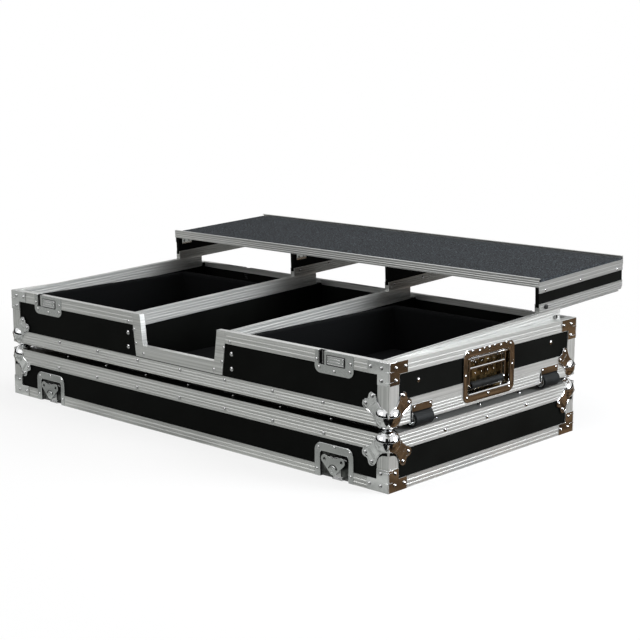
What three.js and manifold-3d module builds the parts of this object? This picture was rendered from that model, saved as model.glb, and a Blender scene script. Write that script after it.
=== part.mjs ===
// A touring coffin case for two turntables and a ten inch mixer, set up for a show. The lid stands on the
// floor with its open rim down, the base stands on the lid with ball corner on ball corner, and a laptop
// shelf glides on four rails that rise towards the back of the base.
// All lengths are millimetres, with +X to the right, +Y to the back and +Z up.

import * as THREE from 'three';
import { mergeVertices } from 'three/addons/utils/BufferGeometryUtils.js';
import Module from 'manifold-3d';

const wasm = await Module();
wasm.setup();

// Driving dimensions of the whole case, taken across its aluminium edges
const case_width = 1149;
const case_depth = 604.6;
const lid_height = 110.4;
const base_height = 122.6;
const stack_gap = 13.7;
const panel = 9;
const sheet = 1.6;
const seat = 0.3;

// Places that follow from them
const half_width = case_width / 2;
const half_depth = case_depth / 2;
const base_z = lid_height + stack_gap;
const rim_z = base_z + base_height;
const ply_in = sheet + seat;
const wall_in = ply_in + panel + seat;
const channel_width = wall_in + sheet;
const quarter = Math.PI / 2;
const grid_steps = 1000;
const overrun = 40;

// Ribbed edge angles and rim bands
const lid_edge_face = 33;
const base_edge_face_front = 29.4;
const base_edge_face_side = 47.4;
const base_edge_under = 33;
const lid_rim = 23.4;
const base_rim = 25;
const channel_lip = 12;
const groove_width = 2.4;
const groove_depth = 0.7;
const groove_count = 4;
const rim_grooves = 2;
const weld = 0.2;

// Corner hardware
const post_flange = 28;
const post_neck = 3;
const lid_post_top = 70.8;
const lid_post_round = 18;
const brace_reach = 52;
const brace_drop = 44;
const brace_band = 24;
const brace_arm = 28;
const brace_sheet = 1.2;
const brace_rim_gap = 0.5;
const ball_radius = 21;
const ball_inset = 13;
const ball_sheet = 1.5;
const ball_touch_gap = 0.2;
const leg_reach = 76;
const leg_half = 19.6;

// Latches and keepers, on the front and on the rear
const latch_from_end = 135.7;
const latch_x = half_width - latch_from_end;
const dish_half = 49.7;
const dish_height = 67.4;
const dish_round = 17;
const dish_opening_half = 36.4;
const dish_opening_height = 50.3;
const dish_depth = 8.2;
const dish_wall = 1.2;
const frame_proud = 0.4;
const cam_height = 18;
const cam_radius = 9.5;
const cam_proud = 4;
const shaft_radius = 4;
const wing_clear = 0.6;
const wing_sheet = 2.2;
const wing_lobe_u = 22;
const wing_lobe_v = 20;
const wing_lobe_radius = 8;
const wing_foot_turn = 0.85;
const wing_hole_radius = 2.6;
const turn_clear = 0.8;
const hook_sheet = 2;
const hook_stroke = 8;
const hook_left = 9;
const hook_right = 21;
const hook_arm_right = 13;
const hook_top = 17;
const hook_floor_gap = 0.6;
const hook_tip_height = 6;
const keeper_half = 49.3;
const keeper_height = 43.7;
const keeper_round = 14;
const keeper_slot_left = -39.6;
const keeper_slot_right = -24.1;
const keeper_slot_depth = 26.7;
const keeper_pad_left = -17;
const keeper_pad_right = 26.4;
const keeper_pad_top = 8.4;
const keeper_pad_bottom = 24;
const keeper_pad_proud = 1.4;

// Cut-out for the mixer in the base's front wall
const cutout_half = 110.6;
const cutout_sill = 55.9;
const cutout_flare_share = 0.13;
const cutout_face = 26;

// Partitions, lining and foam
const partition_x = 146.6;
const mat = 3;
const foam_front = 25;
const foam_side = 19.1;
const cable_depth = 79.2;
const foam_top = 13;
const foam_clear = 0.6;

// Glide rails
const batten = 6;
const batten_height = 22.8;
const rail_width = 12;
const rail_height = 30;
const rail_length = 555;
const rail_rise = 23.2;
const rail_start = 16.3;
const rail_sink = 0.7;
const slot_neck = 4;
const slot_head = 7;
const slot_neck_depth = 2;
const slot_head_depth = 2.4;
const slot_clear = 0.4;
const rail_x = half_width - wall_in - batten - seat - rail_width / 2;
const glide_angle = Math.asin(rail_rise / rail_length);
const bumper_radius = 5;
const bumper_height = 4;
const bumper_from_end = 19;
const bumper_drop = 15.7;

// Gliding shelf, measured square to the rails
const shelf_depth = 317;
const shelf_overlap = 75;
const shelf_rest = rail_length - shelf_overlap;
const runner_height = 19.5;
const runner_wall = 1.5;
const leg_panel = rail_width - 2 * runner_wall;
const shelf_edge_sheet = 1.2;
const leg_round = 10;
const shelf_edge_face = 23;
const shelf_edge_top = 65.5;
const shelf_edge_under = 20;
const shelf_board = 10.5;
const shelf_carpet = 4.2;
const edge_trim_height = 18.4;
const edge_trim_lip = 5;
const edge_trim_sheet = 1.5;
const bracket_arm = 17;
const bracket_length = 32;
const bracket_sheet = 2;
const bracket_from_edge = 10;
const knob_from_front = 22;
const knob_up = 11.6;

// Recessed spring handles on both ends
const handle_half = 83;
const handle_low = 5.4;
const handle_high = 111;
const handle_round = 16;
const handle_frame_side = 15;
const handle_frame_low = 17;
const handle_frame_high = 17;
const handle_depth = 18;
const handle_sheet = 1.5;
const bail_radius = 3;
const bail_arm_y = 58;
const bail_axis_drop = 4.5;
const bail_axis_in = 5;
const bail_drop = 51;
const bail_cross_share = 0.36;
const grip_radius = 7.6;
const grip_half = 52;
const grip_sides = 12;
const grip_in = 8.6;

// Edge wheels on the right end
const wheel_from_end = 94;
const wheel_y = half_depth - wheel_from_end;
const wheel_radius = 15;
const wheel_half = 26.5;
const wheel_sides = 24;
const wheel_x_in = 4;
const wheel_up = 3.4;
const bracket_half = 29.5;
const bracket_plate = 1.5;
const bracket_top = 33;
const pocket_in = 22.5;
const pocket_up = 21;
const pocket_under = 16;
const pocket_clear = 1;
const axle_radius = 3;
const axle_clear = 0.3;
const axle_head_radius = 5;
const axle_head = 2.5;
const ear_out = 8;

// Materials
const metal = (color, roughness) => new THREE.MeshStandardMaterial({ color, roughness, metalness: 1 });
const plain = (color, roughness) => new THREE.MeshStandardMaterial({ color, roughness, metalness: 0 });
const laminate = plain(0x121311, 0.55);
const aluminium = metal(0xc4c6c4, 0.34);
const chrome = metal(0xdadcde, 0.12);
const zinc = metal(0xbfc2c2, 0.25);
const steel = metal(0xd2d4d6, 0.2);
const rubber = plain(0x1b1e1f, 0.7);
const foam = plain(0x17181a, 0.95);
const carpet = plain(0x36383a, 0.98);

// Shape helpers

const lerp = (low, high, share) => low + (high - low) * share;

// Leaves only positions, moves them to a fine grid so that pieces that touch share their places exactly,
// shares equal vertices and drops triangles without area.
function welded(geometry) {
  const bare = geometry.index ? geometry.toNonIndexed() : geometry.clone();
  bare.deleteAttribute('normal');
  bare.deleteAttribute('uv');
  const places = bare.attributes.position.array;
  for (let i = 0; i < places.length; i += 1) places[i] = Math.round(places[i] * grid_steps) / grid_steps;
  const shared = mergeVertices(bare);
  const index = shared.index.array;
  const kept = [];
  for (let i = 0; i < index.length; i += 3) {
    const [a, b, c] = [index[i], index[i + 1], index[i + 2]];
    if (a !== b && b !== c && c !== a) kept.push(a, b, c);
  }
  shared.setIndex(kept);
  return shared;
}

function to_solid(geometry) {
  const closed = welded(geometry);
  const vertProperties = new Float32Array(closed.attributes.position.array);
  const triVerts = new Uint32Array(closed.index.array);
  return new wasm.Manifold(new wasm.Mesh({ numProp: 3, vertProperties, triVerts }));
}

function from_solid(solid) {
  const mesh = solid.getMesh();
  const geometry = new THREE.BufferGeometry();
  geometry.setAttribute('position', new THREE.BufferAttribute(mesh.vertProperties, mesh.numProp));
  geometry.setIndex(new THREE.BufferAttribute(mesh.triVerts, 1));
  return geometry;
}

const joined = (...pieces) => from_solid(pieces.map(to_solid).reduce((whole, next) => whole.add(next)));
function cut(body, ...tools) {
  return from_solid(tools.map(to_solid).reduce((rest, tool) => rest.subtract(tool), to_solid(body)));
}

const outline = (points) => new THREE.Shape(points.map(([x, y]) => new THREE.Vector2(x, y)));

// A plate of the given outline between two heights w, thickness along +Z.
function slab(shape, w_low, w_high, arc_steps = 4) {
  const settings = { depth: w_high - w_low, bevelEnabled: false, curveSegments: arc_steps };
  return new THREE.ExtrudeGeometry(shape, settings).translate(0, 0, w_low);
}

const block = (x0, y0, z0, x1, y1, z1) => slab(rectangle(x0, y0, x1, y1), z0, z1);
const rectangle = (x0, y0, x1, y1) => outline([[x0, y0], [x1, y0], [x1, y1], [x0, y1]]);

// A rectangle with a radius for each corner, from the lower left one anticlockwise.
function rounded(x0, y0, x1, y1, [r0, r1, r2, r3]) {
  const shape = new THREE.Shape();
  shape.moveTo(x0 + r0, y0);
  shape.lineTo(x1 - r1, y0);
  if (r1) shape.absarc(x1 - r1, y0 + r1, r1, -quarter, 0);
  shape.lineTo(x1, y1 - r2);
  if (r2) shape.absarc(x1 - r2, y1 - r2, r2, 0, quarter);
  shape.lineTo(x0 + r3, y1);
  if (r3) shape.absarc(x0 + r3, y1 - r3, r3, quarter, 2 * quarter);
  shape.lineTo(x0, y0 + r0);
  if (r0) shape.absarc(x0 + r0, y0 + r0, r0, 2 * quarter, 3 * quarter);
  return shape;
}

// A U-shaped strip of the given width round an opening that is open at v_open.
function u_strip(u0, u1, v_open, v_end, width) {
  const far = v_end + Math.sign(v_end - v_open) * width;
  return outline([
    [u0 - width, v_open], [u0 - width, far], [u1 + width, far], [u1 + width, v_open],
    [u1, v_open], [u1, v_end], [u0, v_end], [u0, v_open],
  ]);
}

// The outside of a flange from v0 to v1, with V-shaped grooves pressed into it.
function grooved(v0, v1, count) {
  const line = [[0, v0]];
  const half = Math.sign(v1 - v0) * groove_width / 2;
  for (let i = 1; i <= count; i += 1) {
    const v = lerp(v0, v1, i / (count + 1));
    line.push([0, v - half], [-groove_depth, v], [0, v + half]);
  }
  line.push([0, v1]);
  return line;
}

// Face k of the case is 0 front, 1 right, 2 rear or 3 left. A piece on a face is drawn as it is seen from
// outside, u to the right, v up and w outwards, with w = 0 on the outside of the aluminium.
const reach = (k) => (k % 2 ? half_width : half_depth);
const span = (k) => (k % 2 ? half_depth : half_width);
const on_face = (geometry, k) => geometry.rotateX(quarter).translate(0, -reach(k), 0).rotateZ(k * quarter);
const faces = [0, 1, 2, 3];
const sides = [-1, 1];

// A mitred frame round the whole case, of a profile given as points [w, v]: a square turned from it in four
// steps, then stretched along X to the case's width.
function edge_ring(profile, level) {
  const points = profile.map(([w, v]) => new THREE.Vector2(Math.SQRT2 * (half_depth + w), v));
  if (THREE.ShapeUtils.isClockWise(points)) points.reverse();
  const ring = new THREE.LatheGeometry([...points, points[0]], 4, quarter / 2).rotateX(quarter);
  const position = ring.attributes.position;
  for (let i = 0; i < position.count; i += 1) {
    position.setX(i, position.getX(i) + Math.sign(position.getX(i)) * (half_width - half_depth));
  }
  return ring.translate(0, 0, level);
}

// The profile of an edge angle: a ribbed face from v = 0 to v = face, and a flange that goes inwards.
function edge_profile(face, under, ribs) {
  const inner = Math.sign(face) * sheet;
  return [...grooved(face, 0, ribs), [-under, 0], [-under, inner], [-sheet, inner], [-sheet, face]];
}

// A piece drawn at the front right corner edge, with x and y from that edge, copied to all four corners.
function at_corners(piece) {
  return faces.map((k) => piece.clone().rotateZ(k * quarter).translate(
    (k === 0 || k === 1 ? 1 : -1) * half_width, (k === 0 || k === 3 ? -1 : 1) * half_depth, 0));
}


// A shape on both faces of the front right corner, drawn with p inwards from the edge and q along it. Each
// plate stops just inside the other one's outside.
function corner_plates(points, w_low, w_high) {
  const kept = points.map(([p, q]) => [Math.max(p, weld - w_high), q]);
  const front = slab(outline(kept.map(([p, q]) => [-p, q])), w_low, w_high);
  const right = slab(outline(kept), w_low, w_high);
  return [front.rotateX(quarter), right.rotateX(quarter).rotateZ(quarter)];
}

// A rod along X, Y or Z between two places.
function rod(radius, low, high, axis, steps = 8) {
  const geometry = new THREE.CylinderGeometry(radius, radius, high - low, steps);
  geometry.translate(0, (low + high) / 2, 0);
  if (axis === 'x') geometry.rotateZ(-quarter);
  if (axis === 'z') geometry.rotateX(quarter);
  return geometry;
}

// A tube along Y between two places.
function tube(inner, outer, low, high, steps) {
  const ring = [[inner, low], [outer, low], [outer, high], [inner, high], [inner, low]];
  return new THREE.LatheGeometry(ring.map(([x, y]) => new THREE.Vector2(x, y)), steps);
}

const kit = new THREE.Group();

function add(name, geometry, material, parent = kit) {
  const mesh = new THREE.Mesh(welded(geometry), material);
  mesh.name = name;
  mesh.geometry.computeVertexNormals();
  parent.add(mesh);
  return mesh;
}

function group(parent = kit) {
  const nest = new THREE.Group();
  parent.add(nest);
  return nest;
}

// Walls

// A wall's outline from v0 to v1, with notches given as point lists from left to right along each edge.
function wall_outline(half, v0, v1, low_notches = [], high_notches = []) {
  const top = [...high_notches].reverse().map((notch) => [...notch].reverse());
  return outline([[-half, v0], ...low_notches.flat(), [half, v0], [half, v1], ...top.flat(), [-half, v1]]);
}

const notch = (u, half, v_edge, v_end) => [
  [u - half, v_edge], [u - half, v_end], [u + half, v_end], [u + half, v_edge],
];
const wall_slab = (shape, k) => on_face(slab(shape, -ply_in - panel, -ply_in), k);
const long_half = half_width - ply_in;
const short_half = half_depth - wall_in;

// Lid: plywood box, open at the floor

const lid_wall_low = ply_in;
const lid_wall_high = lid_height - ply_in - panel - seat;
const dish_notch_half = dish_opening_half + dish_wall + seat;
const dish_notch_top = dish_opening_height + dish_wall + seat;
const dish_notches = sides.map((s) => notch(s * latch_x, dish_notch_half, lid_wall_low, dish_notch_top));
const lid_long_wall = () => wall_outline(long_half, lid_wall_low, lid_wall_high, dish_notches);
const lid_short_wall = () => wall_outline(short_half, lid_wall_low, lid_wall_high);
const lid_top_z = lid_height - ply_in;

add('lid_top_panel', block(
  -long_half, -half_depth + ply_in, lid_top_z - panel, long_half, half_depth - ply_in, lid_top_z), laminate);
add('lid_front_wall', wall_slab(lid_long_wall(), 0), laminate);
add('lid_rear_wall', wall_slab(lid_long_wall(), 2), laminate);
add('lid_right_wall', wall_slab(lid_short_wall(), 1), laminate);
add('lid_left_wall', wall_slab(lid_short_wall(), 3), laminate);

// Posts: angles on the corner edges. The lid's have a round top that only a narrow neck runs on from.
function post(low, high, round, neck_top) {
  const arc = [];
  const steps = 4;
  for (let i = 0; i <= steps; i += 1) {
    const turn = quarter * i / steps;
    arc.push([post_flange - round * (1 - Math.cos(turn)), high - round * (1 - Math.sin(turn))]);
  }
  const points = [
    [0, low], [post_flange, low], ...arc, [post_neck, high], [post_neck, neck_top], [0, neck_top],
  ];
  return corner_plates(points, weld / 2 - sheet, -weld / 2);
}

// L-shaped corner braces, with their long arm along the rim
function brace(rim, direction) {
  const down = (drop) => rim + direction * drop;
  const points = [
    [-brace_sheet, down(brace_rim_gap)], [brace_reach, down(brace_rim_gap)], [brace_reach, down(brace_band)],
    [brace_arm, down(brace_band)], [brace_arm, down(brace_drop)], [-brace_sheet, down(brace_drop)],
  ];
  return corner_plates(points, -sheet / 2, brace_sheet);
}

// Lid edge frame: ribbed angles round the top, posts, and a channel with braces round the open rim, which
// makes room for the latch dishes
const lid_rim_profile = [
  ...grooved(lid_rim, 0, rim_grooves), [-channel_width, 0], [-channel_width, channel_lip], [-wall_in, channel_lip],
  [-wall_in, sheet], [-sheet, sheet], [-sheet, lid_rim],
];
const dish_plate_half = dish_half + seat;
const dish_room = sides.flatMap((s) => [0, 2].flatMap((k) => [
  on_face(block(
    s * latch_x - dish_plate_half, -overrun, -ply_in,
    s * latch_x + dish_plate_half, dish_height + seat, overrun), k),
  on_face(block(
    s * latch_x - dish_notch_half, -overrun, -dish_depth - dish_wall - seat,
    s * latch_x + dish_notch_half, dish_notch_top, overrun), k),
]));
const lid_post = post(lid_rim - weld, lid_post_top, lid_post_round, lid_height - lid_edge_face + weld);
const lid_corner = [...lid_post, ...brace(0, 1)];
add('lid_edge_frame', cut(joined(
  edge_ring(edge_profile(-lid_edge_face, lid_edge_face, groove_count), lid_height),
  edge_ring(lid_rim_profile, 0),
  ...lid_corner.flatMap(at_corners)), ...dish_room), aluminium);

// Ball corners: a ball over the corner, and on each of its three faces a leg that ends in two lobes.
// The outline is in shares of the leg's reach along the diagonal and of its half width.
const leg_shares = [
  [0.22, 0.72], [0.4, 0.66], [0.56, 0.6], [0.68, 0.74], [0.77, 0.94], [0.86, 1],
  [0.95, 0.9], [1, 0.62], [0.99, 0.36], [0.95, 0.14],
];
function ball_corner() {
  const side = leg_shares.map(([s, t]) => [s * leg_reach, t * leg_half]);
  const whole = [...side, ...[...side].reverse().map(([s, t]) => [s, -t])];
  const leg = whole.map(([s, t]) => [(s + t) * Math.SQRT1_2, (s - t) * Math.SQRT1_2]);
  const under = slab(outline(leg.map(([p, q]) => [-p, q])), -seat - ball_sheet, -seat);
  const ball = new THREE.SphereGeometry(ball_radius, 16, 10).rotateX(quarter);
  ball.translate(-ball_inset, ball_inset, ball_inset);
  const far = leg_reach;
  const corner_box = block(-far, -seat, -seat, seat, far, far);
  const flat = -stack_gap / 2 + ball_touch_gap / 2;
  const below = block(-far, -far, flat - far, far, far, flat);
  const shell = cut(ball, corner_box, below);
  return joined(shell, ...corner_plates(leg, seat, seat + ball_sheet), under);
}
const base_ball = ball_corner();
const lid_ball = base_ball.clone().rotateX(2 * quarter);
const lid_balls = faces.map((k) => lid_ball.clone().rotateZ(k * quarter).translate(
  (k === 0 || k === 3 ? 1 : -1) * half_width, (k === 0 || k === 1 ? 1 : -1) * half_depth, lid_height));
const base_balls = at_corners(base_ball.clone().translate(0, 0, base_z));
const base_ball_places = ['front_right', 'rear_right', 'rear_left', 'front_left'];
const lid_ball_places = ['rear_right', 'rear_left', 'front_left', 'front_right'];
faces.forEach((k) => add(`lid_ball_corner_${lid_ball_places[k]}`, lid_balls[k], chrome));
faces.forEach((k) => add(`base_ball_corner_${base_ball_places[k]}`, base_balls[k], chrome));

// Base: plywood tray with a notched front for the mixer

const floor_low = base_z + ply_in;
const floor_top = floor_low + panel;
const base_wall_low = floor_top + seat;
const base_wall_high = rim_z - ply_in;
const pocket_half = bracket_half + bracket_plate + pocket_clear;
const pocket_edge = half_width - pocket_in - bracket_plate - seat;

function floor_outline() {
  const y_edge = half_depth - ply_in;
  const pockets = sides.flatMap((s) => [
    [long_half, s * wheel_y - pocket_half], [pocket_edge, s * wheel_y - pocket_half],
    [pocket_edge, s * wheel_y + pocket_half], [long_half, s * wheel_y + pocket_half],
  ]);
  return outline([
    [-long_half, -y_edge], [long_half, -y_edge], ...pockets, [long_half, y_edge], [-long_half, y_edge],
  ]);
}
add('base_floor_panel', slab(floor_outline(), floor_low, floor_top), laminate);

// The mixer cut-out, wider at the rim than at its sill
const sill_z = base_z + cutout_sill;
const cutout_half_at = (z) => cutout_half + (z - sill_z) * cutout_flare_share;
const cutout_notch = (edge, z_top) => [
  [-cutout_half_at(z_top) - edge, z_top], [-cutout_half_at(sill_z - edge) - edge, sill_z - edge],
  [cutout_half_at(sill_z - edge) + edge, sill_z - edge], [cutout_half_at(z_top) + edge, z_top],
];
const slot_middle = (keeper_slot_left + keeper_slot_right) / 2;
const slot_notch_half = (keeper_slot_right - keeper_slot_left) / 2 + dish_wall + seat;
const slot_notch_low = rim_z - keeper_slot_depth - dish_wall - seat;
const keeper_notches = sides.map((s) => notch(
  s * latch_x + slot_middle, slot_notch_half, base_wall_high, slot_notch_low));
const front_notches = [keeper_notches[0], cutout_notch(ply_in, base_wall_high), keeper_notches[1]];
add('base_front_wall', wall_slab(
  wall_outline(long_half, base_wall_low, base_wall_high, [], front_notches), 0), laminate);
add('base_rear_wall', wall_slab(
  wall_outline(long_half, base_wall_low, base_wall_high, [], keeper_notches), 2), laminate);

const handle_opening_half = handle_half - handle_frame_side;
const handle_opening_low = base_z + handle_low + handle_frame_low;
const handle_opening_high = base_z + handle_high - handle_frame_high;
const handle_cut = handle_sheet + seat;
function end_wall(k) {
  const bays = sides.map((s) => notch(
    s * wheel_y, pocket_half, base_wall_low, base_z + pocket_up + bracket_plate + seat));
  const shape = wall_outline(short_half, base_wall_low, base_wall_high, k === 1 ? bays : []);
  shape.holes.push(rectangle(
    -handle_opening_half - handle_cut, handle_opening_low - handle_cut,
    handle_opening_half + handle_cut, handle_opening_high + handle_cut));
  return wall_slab(shape, k);
}

// The end walls carry the outer rails on a batten inside their top edge.
const inner_half = half_depth - channel_width - seat;
const side_batten = () => slab(
  rectangle(-inner_half, base_wall_high - batten_height, inner_half, base_wall_high),
  -wall_in - batten, -ply_in - panel / 2);
add('base_right_wall', joined(end_wall(1), on_face(side_batten(), 1)), laminate);
add('base_left_wall', joined(end_wall(3), on_face(side_batten(), 3)), laminate);

// Base edge frame: ribbed angles round the bottom, posts, and channels with braces round the rim, which
// make room for the trim of the mixer cut-out, the keepers, the handles and the wheels
const side_plates = [1, 3].flatMap((k) => [
  on_face(block(
    weld - half_depth, base_z + base_edge_face_front - weld, weld - sheet,
    half_depth - weld, base_z + base_edge_face_side, -weld), k),
  on_face(block(
    sheet - half_depth, rim_z - sheet + weld / 2, -wall_in - batten,
    half_depth - sheet, rim_z - weld / 2, -wall_in), k),
]);
const rim_lips = [0, 2].map((k) => on_face(block(
  wall_in + batten - half_width, rim_z - channel_lip, weld / 2 - channel_width,
  half_width - wall_in - batten, rim_z - sheet / 2, -wall_in), k));

// The trim round the mixer cut-out: a face plate, a web through the wall and a lip inside
const trim_top = rim_z - weld;
const trim_edge = (width) => [
  [-cutout_half_at(trim_top) - width, trim_top], [-cutout_half_at(sill_z - width) - width, sill_z - width],
  [cutout_half_at(sill_z - width) + width, sill_z - width], [cutout_half_at(trim_top) + width, trim_top],
];
const trim_loop = (inner, outer) => outline([...trim_edge(outer), ...trim_edge(inner).reverse()]);
add('cutout_trim', on_face(joined(
  slab(trim_loop(0, cutout_face), -sheet, 0),
  slab(trim_loop(0, sheet), -channel_width, -sheet / 2),
  slab(trim_loop(0, channel_lip), -channel_width, -wall_in)), 0), aluminium);
const trim_room = (width, w_low, w_high) => {
  const high = rim_z + overrun;
  const low = sill_z - width;
  const half_high = cutout_half_at(high) + width;
  const half_low = cutout_half_at(low) + width;
  const shape = outline([[-half_low, low], [half_low, low], [half_high, high], [-half_high, high]]);
  return on_face(slab(shape, w_low, w_high), 0);
};
const cutout_room = [
  trim_room(cutout_face + seat, -ply_in, overrun),
  trim_room(sheet + seat, -wall_in + seat / 2, overrun),
  trim_room(channel_lip + seat, -overrun, -wall_in + seat),
];
const keeper_plate_half = keeper_half + seat;
const keeper_room = sides.flatMap((s) => [0, 2].flatMap((k) => [
  on_face(block(
    s * latch_x - keeper_plate_half, rim_z - keeper_height - seat, -ply_in,
    s * latch_x + keeper_plate_half, rim_z + overrun, overrun), k),
  on_face(block(
    s * latch_x + slot_middle - slot_notch_half, slot_notch_low, -dish_depth - dish_wall - seat,
    s * latch_x + slot_middle + slot_notch_half, rim_z + overrun, overrun), k),
]));
const handle_room = [1, 3].map((k) => on_face(block(
  -handle_opening_half - handle_cut, handle_opening_low - handle_cut, -overrun,
  handle_opening_half + handle_cut, handle_opening_high + handle_cut, overrun), k));
const wheel_room = sides.map((s) => on_face(block(
  s * wheel_y - pocket_half, base_z - overrun, -pocket_in - bracket_plate - seat,
  s * wheel_y + pocket_half, base_z + pocket_up + bracket_plate + seat, overrun), 1));
const base_post = post(
  base_z + base_edge_face_front - weld, rim_z - base_rim + weld, 0, rim_z - base_rim + weld);
const base_corner = [...base_post, ...brace(rim_z, -1)];
add('base_edge_frame', cut(joined(
  edge_ring(edge_profile(base_edge_face_front, base_edge_under, groove_count), base_z),
  edge_ring(edge_profile(-base_rim, channel_width, rim_grooves), rim_z),
  ...side_plates,
  ...rim_lips,
  ...base_corner.flatMap(at_corners)),
  ...cutout_room, ...keeper_room, ...handle_room, ...wheel_room), aluminium);

// Keepers in the rim: a plate with a slot and its pocket, and a raised strike pad
function keeper() {
  const frame = rounded(-keeper_half, -keeper_height, keeper_half, 0, [keeper_round, keeper_round, 0, 0]);
  const slot = rectangle(keeper_slot_left, -keeper_slot_depth, keeper_slot_right, overrun);
  const pad = rectangle(keeper_pad_left, -keeper_pad_bottom, keeper_pad_right, -keeper_pad_top);
  const well = u_strip(keeper_slot_left, keeper_slot_right, 0, -keeper_slot_depth, dish_wall);
  const back = rectangle(
    keeper_slot_left - dish_wall, -keeper_slot_depth - dish_wall, keeper_slot_right + dish_wall, 0);
  return joined(
    cut(slab(frame, -sheet, frame_proud), slab(slot, -overrun, overrun)),
    slab(pad, -sheet / 2, keeper_pad_proud),
    slab(well, -dish_depth - dish_wall, -sheet / 2),
    slab(back, -dish_depth - dish_wall, -dish_depth));
}
const latch_places = [['front', 0], ['rear', 2]].flatMap(([end, k]) => sides.map((s) => {
  const hand = (k === 0) === (s > 0) ? 'right' : 'left';
  return { place: `${end}_${hand}`, k, u: s * latch_x };
}));
for (const { place, k, u } of latch_places) {
  add(`keeper_${place}`, on_face(keeper().translate(u, rim_z, 0), k), zinc);
}

const mat_low = floor_top + seat;
const mat_top = mat_low + mat;

// Partitions on both sides of the mixer well, their top edge following the rails
const rail_front_y = -half_depth + rail_start;
const rail_front_z = rim_z - rail_sink;
const rail_top_at = (y) => rail_front_z + (y - rail_front_y) * Math.tan(glide_angle);
const partition_top = (y) => rail_top_at(y) - (rail_height + seat) / Math.cos(glide_angle);
function partition(x) {
  const shape = outline([
    [-inner_half, mat_low], [inner_half, mat_low],
    [inner_half, partition_top(inner_half)], [-inner_half, partition_top(-inner_half)],
  ]);
  return slab(shape, -panel / 2, panel / 2).rotateX(quarter).rotateZ(quarter).translate(x, 0, 0);
}
add('mixer_partition_left', partition(-partition_x), laminate);
add('mixer_partition_right', partition(partition_x), laminate);

// Lining: a sheet on the floor, slotted for the partitions, with foam rings that hold the turntables
const foam_in = partition_x + rail_width / 2 + foam_clear;
const foam_out = rail_x - rail_width / 2 - foam_clear;
function foam_ring(side) {
  const y0 = -short_half;
  const y1 = short_half - cable_depth;
  const shape = rectangle(foam_in, y0, foam_out, y1);
  shape.holes.push(rectangle(foam_in + foam_side, y0 + foam_front, foam_out - foam_side, y1 - foam_front));
  const ring = slab(shape, mat_low, rim_z - foam_top);
  return side > 0 ? ring : ring.rotateZ(2 * quarter).translate(0, y0 + y1, 0);
}
const mat_x = half_width - wall_in;
const mat_sheet = block(-mat_x, -short_half, mat_low, mat_x, short_half, mat_top);
const partition_slots = sides.map((s) => block(
  s * partition_x - panel / 2 - seat, -inner_half - seat, 0,
  s * partition_x + panel / 2 + seat, inner_half + seat, rim_z));
add('base_lining', cut(joined(mat_sheet, ...sides.map(foam_ring)), ...wheel_room, ...partition_slots), foam);

// Glide rails with a T-slot in their top, in a frame tilted to the rails

const incline = group();
incline.position.set(0, rail_front_y, rail_front_z);
incline.rotation.x = glide_angle;

function rail_profile() {
  const half = rail_width / 2;
  const outer = grooved(-rail_height, 0, groove_count).map(([w, v]) => [half + w, v]);
  const inner = [...outer].reverse().map(([x, v]) => [-x, v]);
  const head = -slot_neck_depth - slot_head_depth;
  const slot = [
    [slot_neck / 2, 0], [slot_neck / 2, -slot_neck_depth], [slot_head / 2, -slot_neck_depth],
    [slot_head / 2, head], [-slot_head / 2, head], [-slot_head / 2, -slot_neck_depth],
    [-slot_neck / 2, -slot_neck_depth], [-slot_neck / 2, 0],
  ];
  return [...outer, ...slot, ...inner];
}

// A straight extrusion along Y of a profile given as points [x, z].
function along_y(profile, y0, y1) {
  const geometry = new THREE.ExtrudeGeometry(outline(profile), { depth: y1 - y0, bevelEnabled: false });
  return geometry.rotateX(quarter).translate(0, y1, 0);
}

const glide_rail = (x) => along_y(rail_profile(), 0, rail_length).translate(x, 0, 0);

// The outer rails have a round stop outside, near their rear end.
function outer_rail(s) {
  const stop = rod(bumper_radius, rail_x, rail_x + rail_width / 2 + bumper_height, 'x', 12);
  if (s < 0) stop.rotateZ(2 * quarter);
  stop.translate(0, rail_length - bumper_from_end, -bumper_drop);
  return joined(glide_rail(s * rail_x), stop);
}
add('glide_rail_outer_left', outer_rail(-1), aluminium, incline);
add('glide_rail_inner_left', glide_rail(-partition_x), aluminium, incline);
add('glide_rail_inner_right', glide_rail(partition_x), aluminium, incline);
add('glide_rail_outer_right', outer_rail(1), aluminium, incline);

// Gliding shelf

const shelf = group(incline);
shelf.position.y = shelf_rest;

const board_top = shelf_edge_top;
const board_low = board_top - shelf_board;
const rebate = shelf_edge_sheet + seat;
const shelf_half = rail_x + rail_width / 2;
const board_half = shelf_half - rebate;
const board_section = [
  [-board_half, board_low], [board_half, board_low], [board_half, board_top - rebate],
  [board_half - shelf_edge_under, board_top - rebate], [board_half - shelf_edge_under, board_top],
  [shelf_edge_under - board_half, board_top], [shelf_edge_under - board_half, board_top - rebate],
  [-board_half, board_top - rebate],
];
const carpet_front = edge_trim_lip - edge_trim_sheet;
const shelf_top = block(
  -shelf_half + seat, carpet_front, board_top + seat,
  shelf_half - seat, shelf_depth - carpet_front, board_top + seat + shelf_carpet);
const carpet_bed = block(
  shelf_edge_under - board_half, carpet_front + seat, board_low + weld,
  board_half - shelf_edge_under, shelf_depth - carpet_front - seat, board_top + seat + weld);
add('shelf_board', joined(along_y(board_section, 0, shelf_depth), carpet_bed, shelf_top), carpet, shelf);

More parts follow.
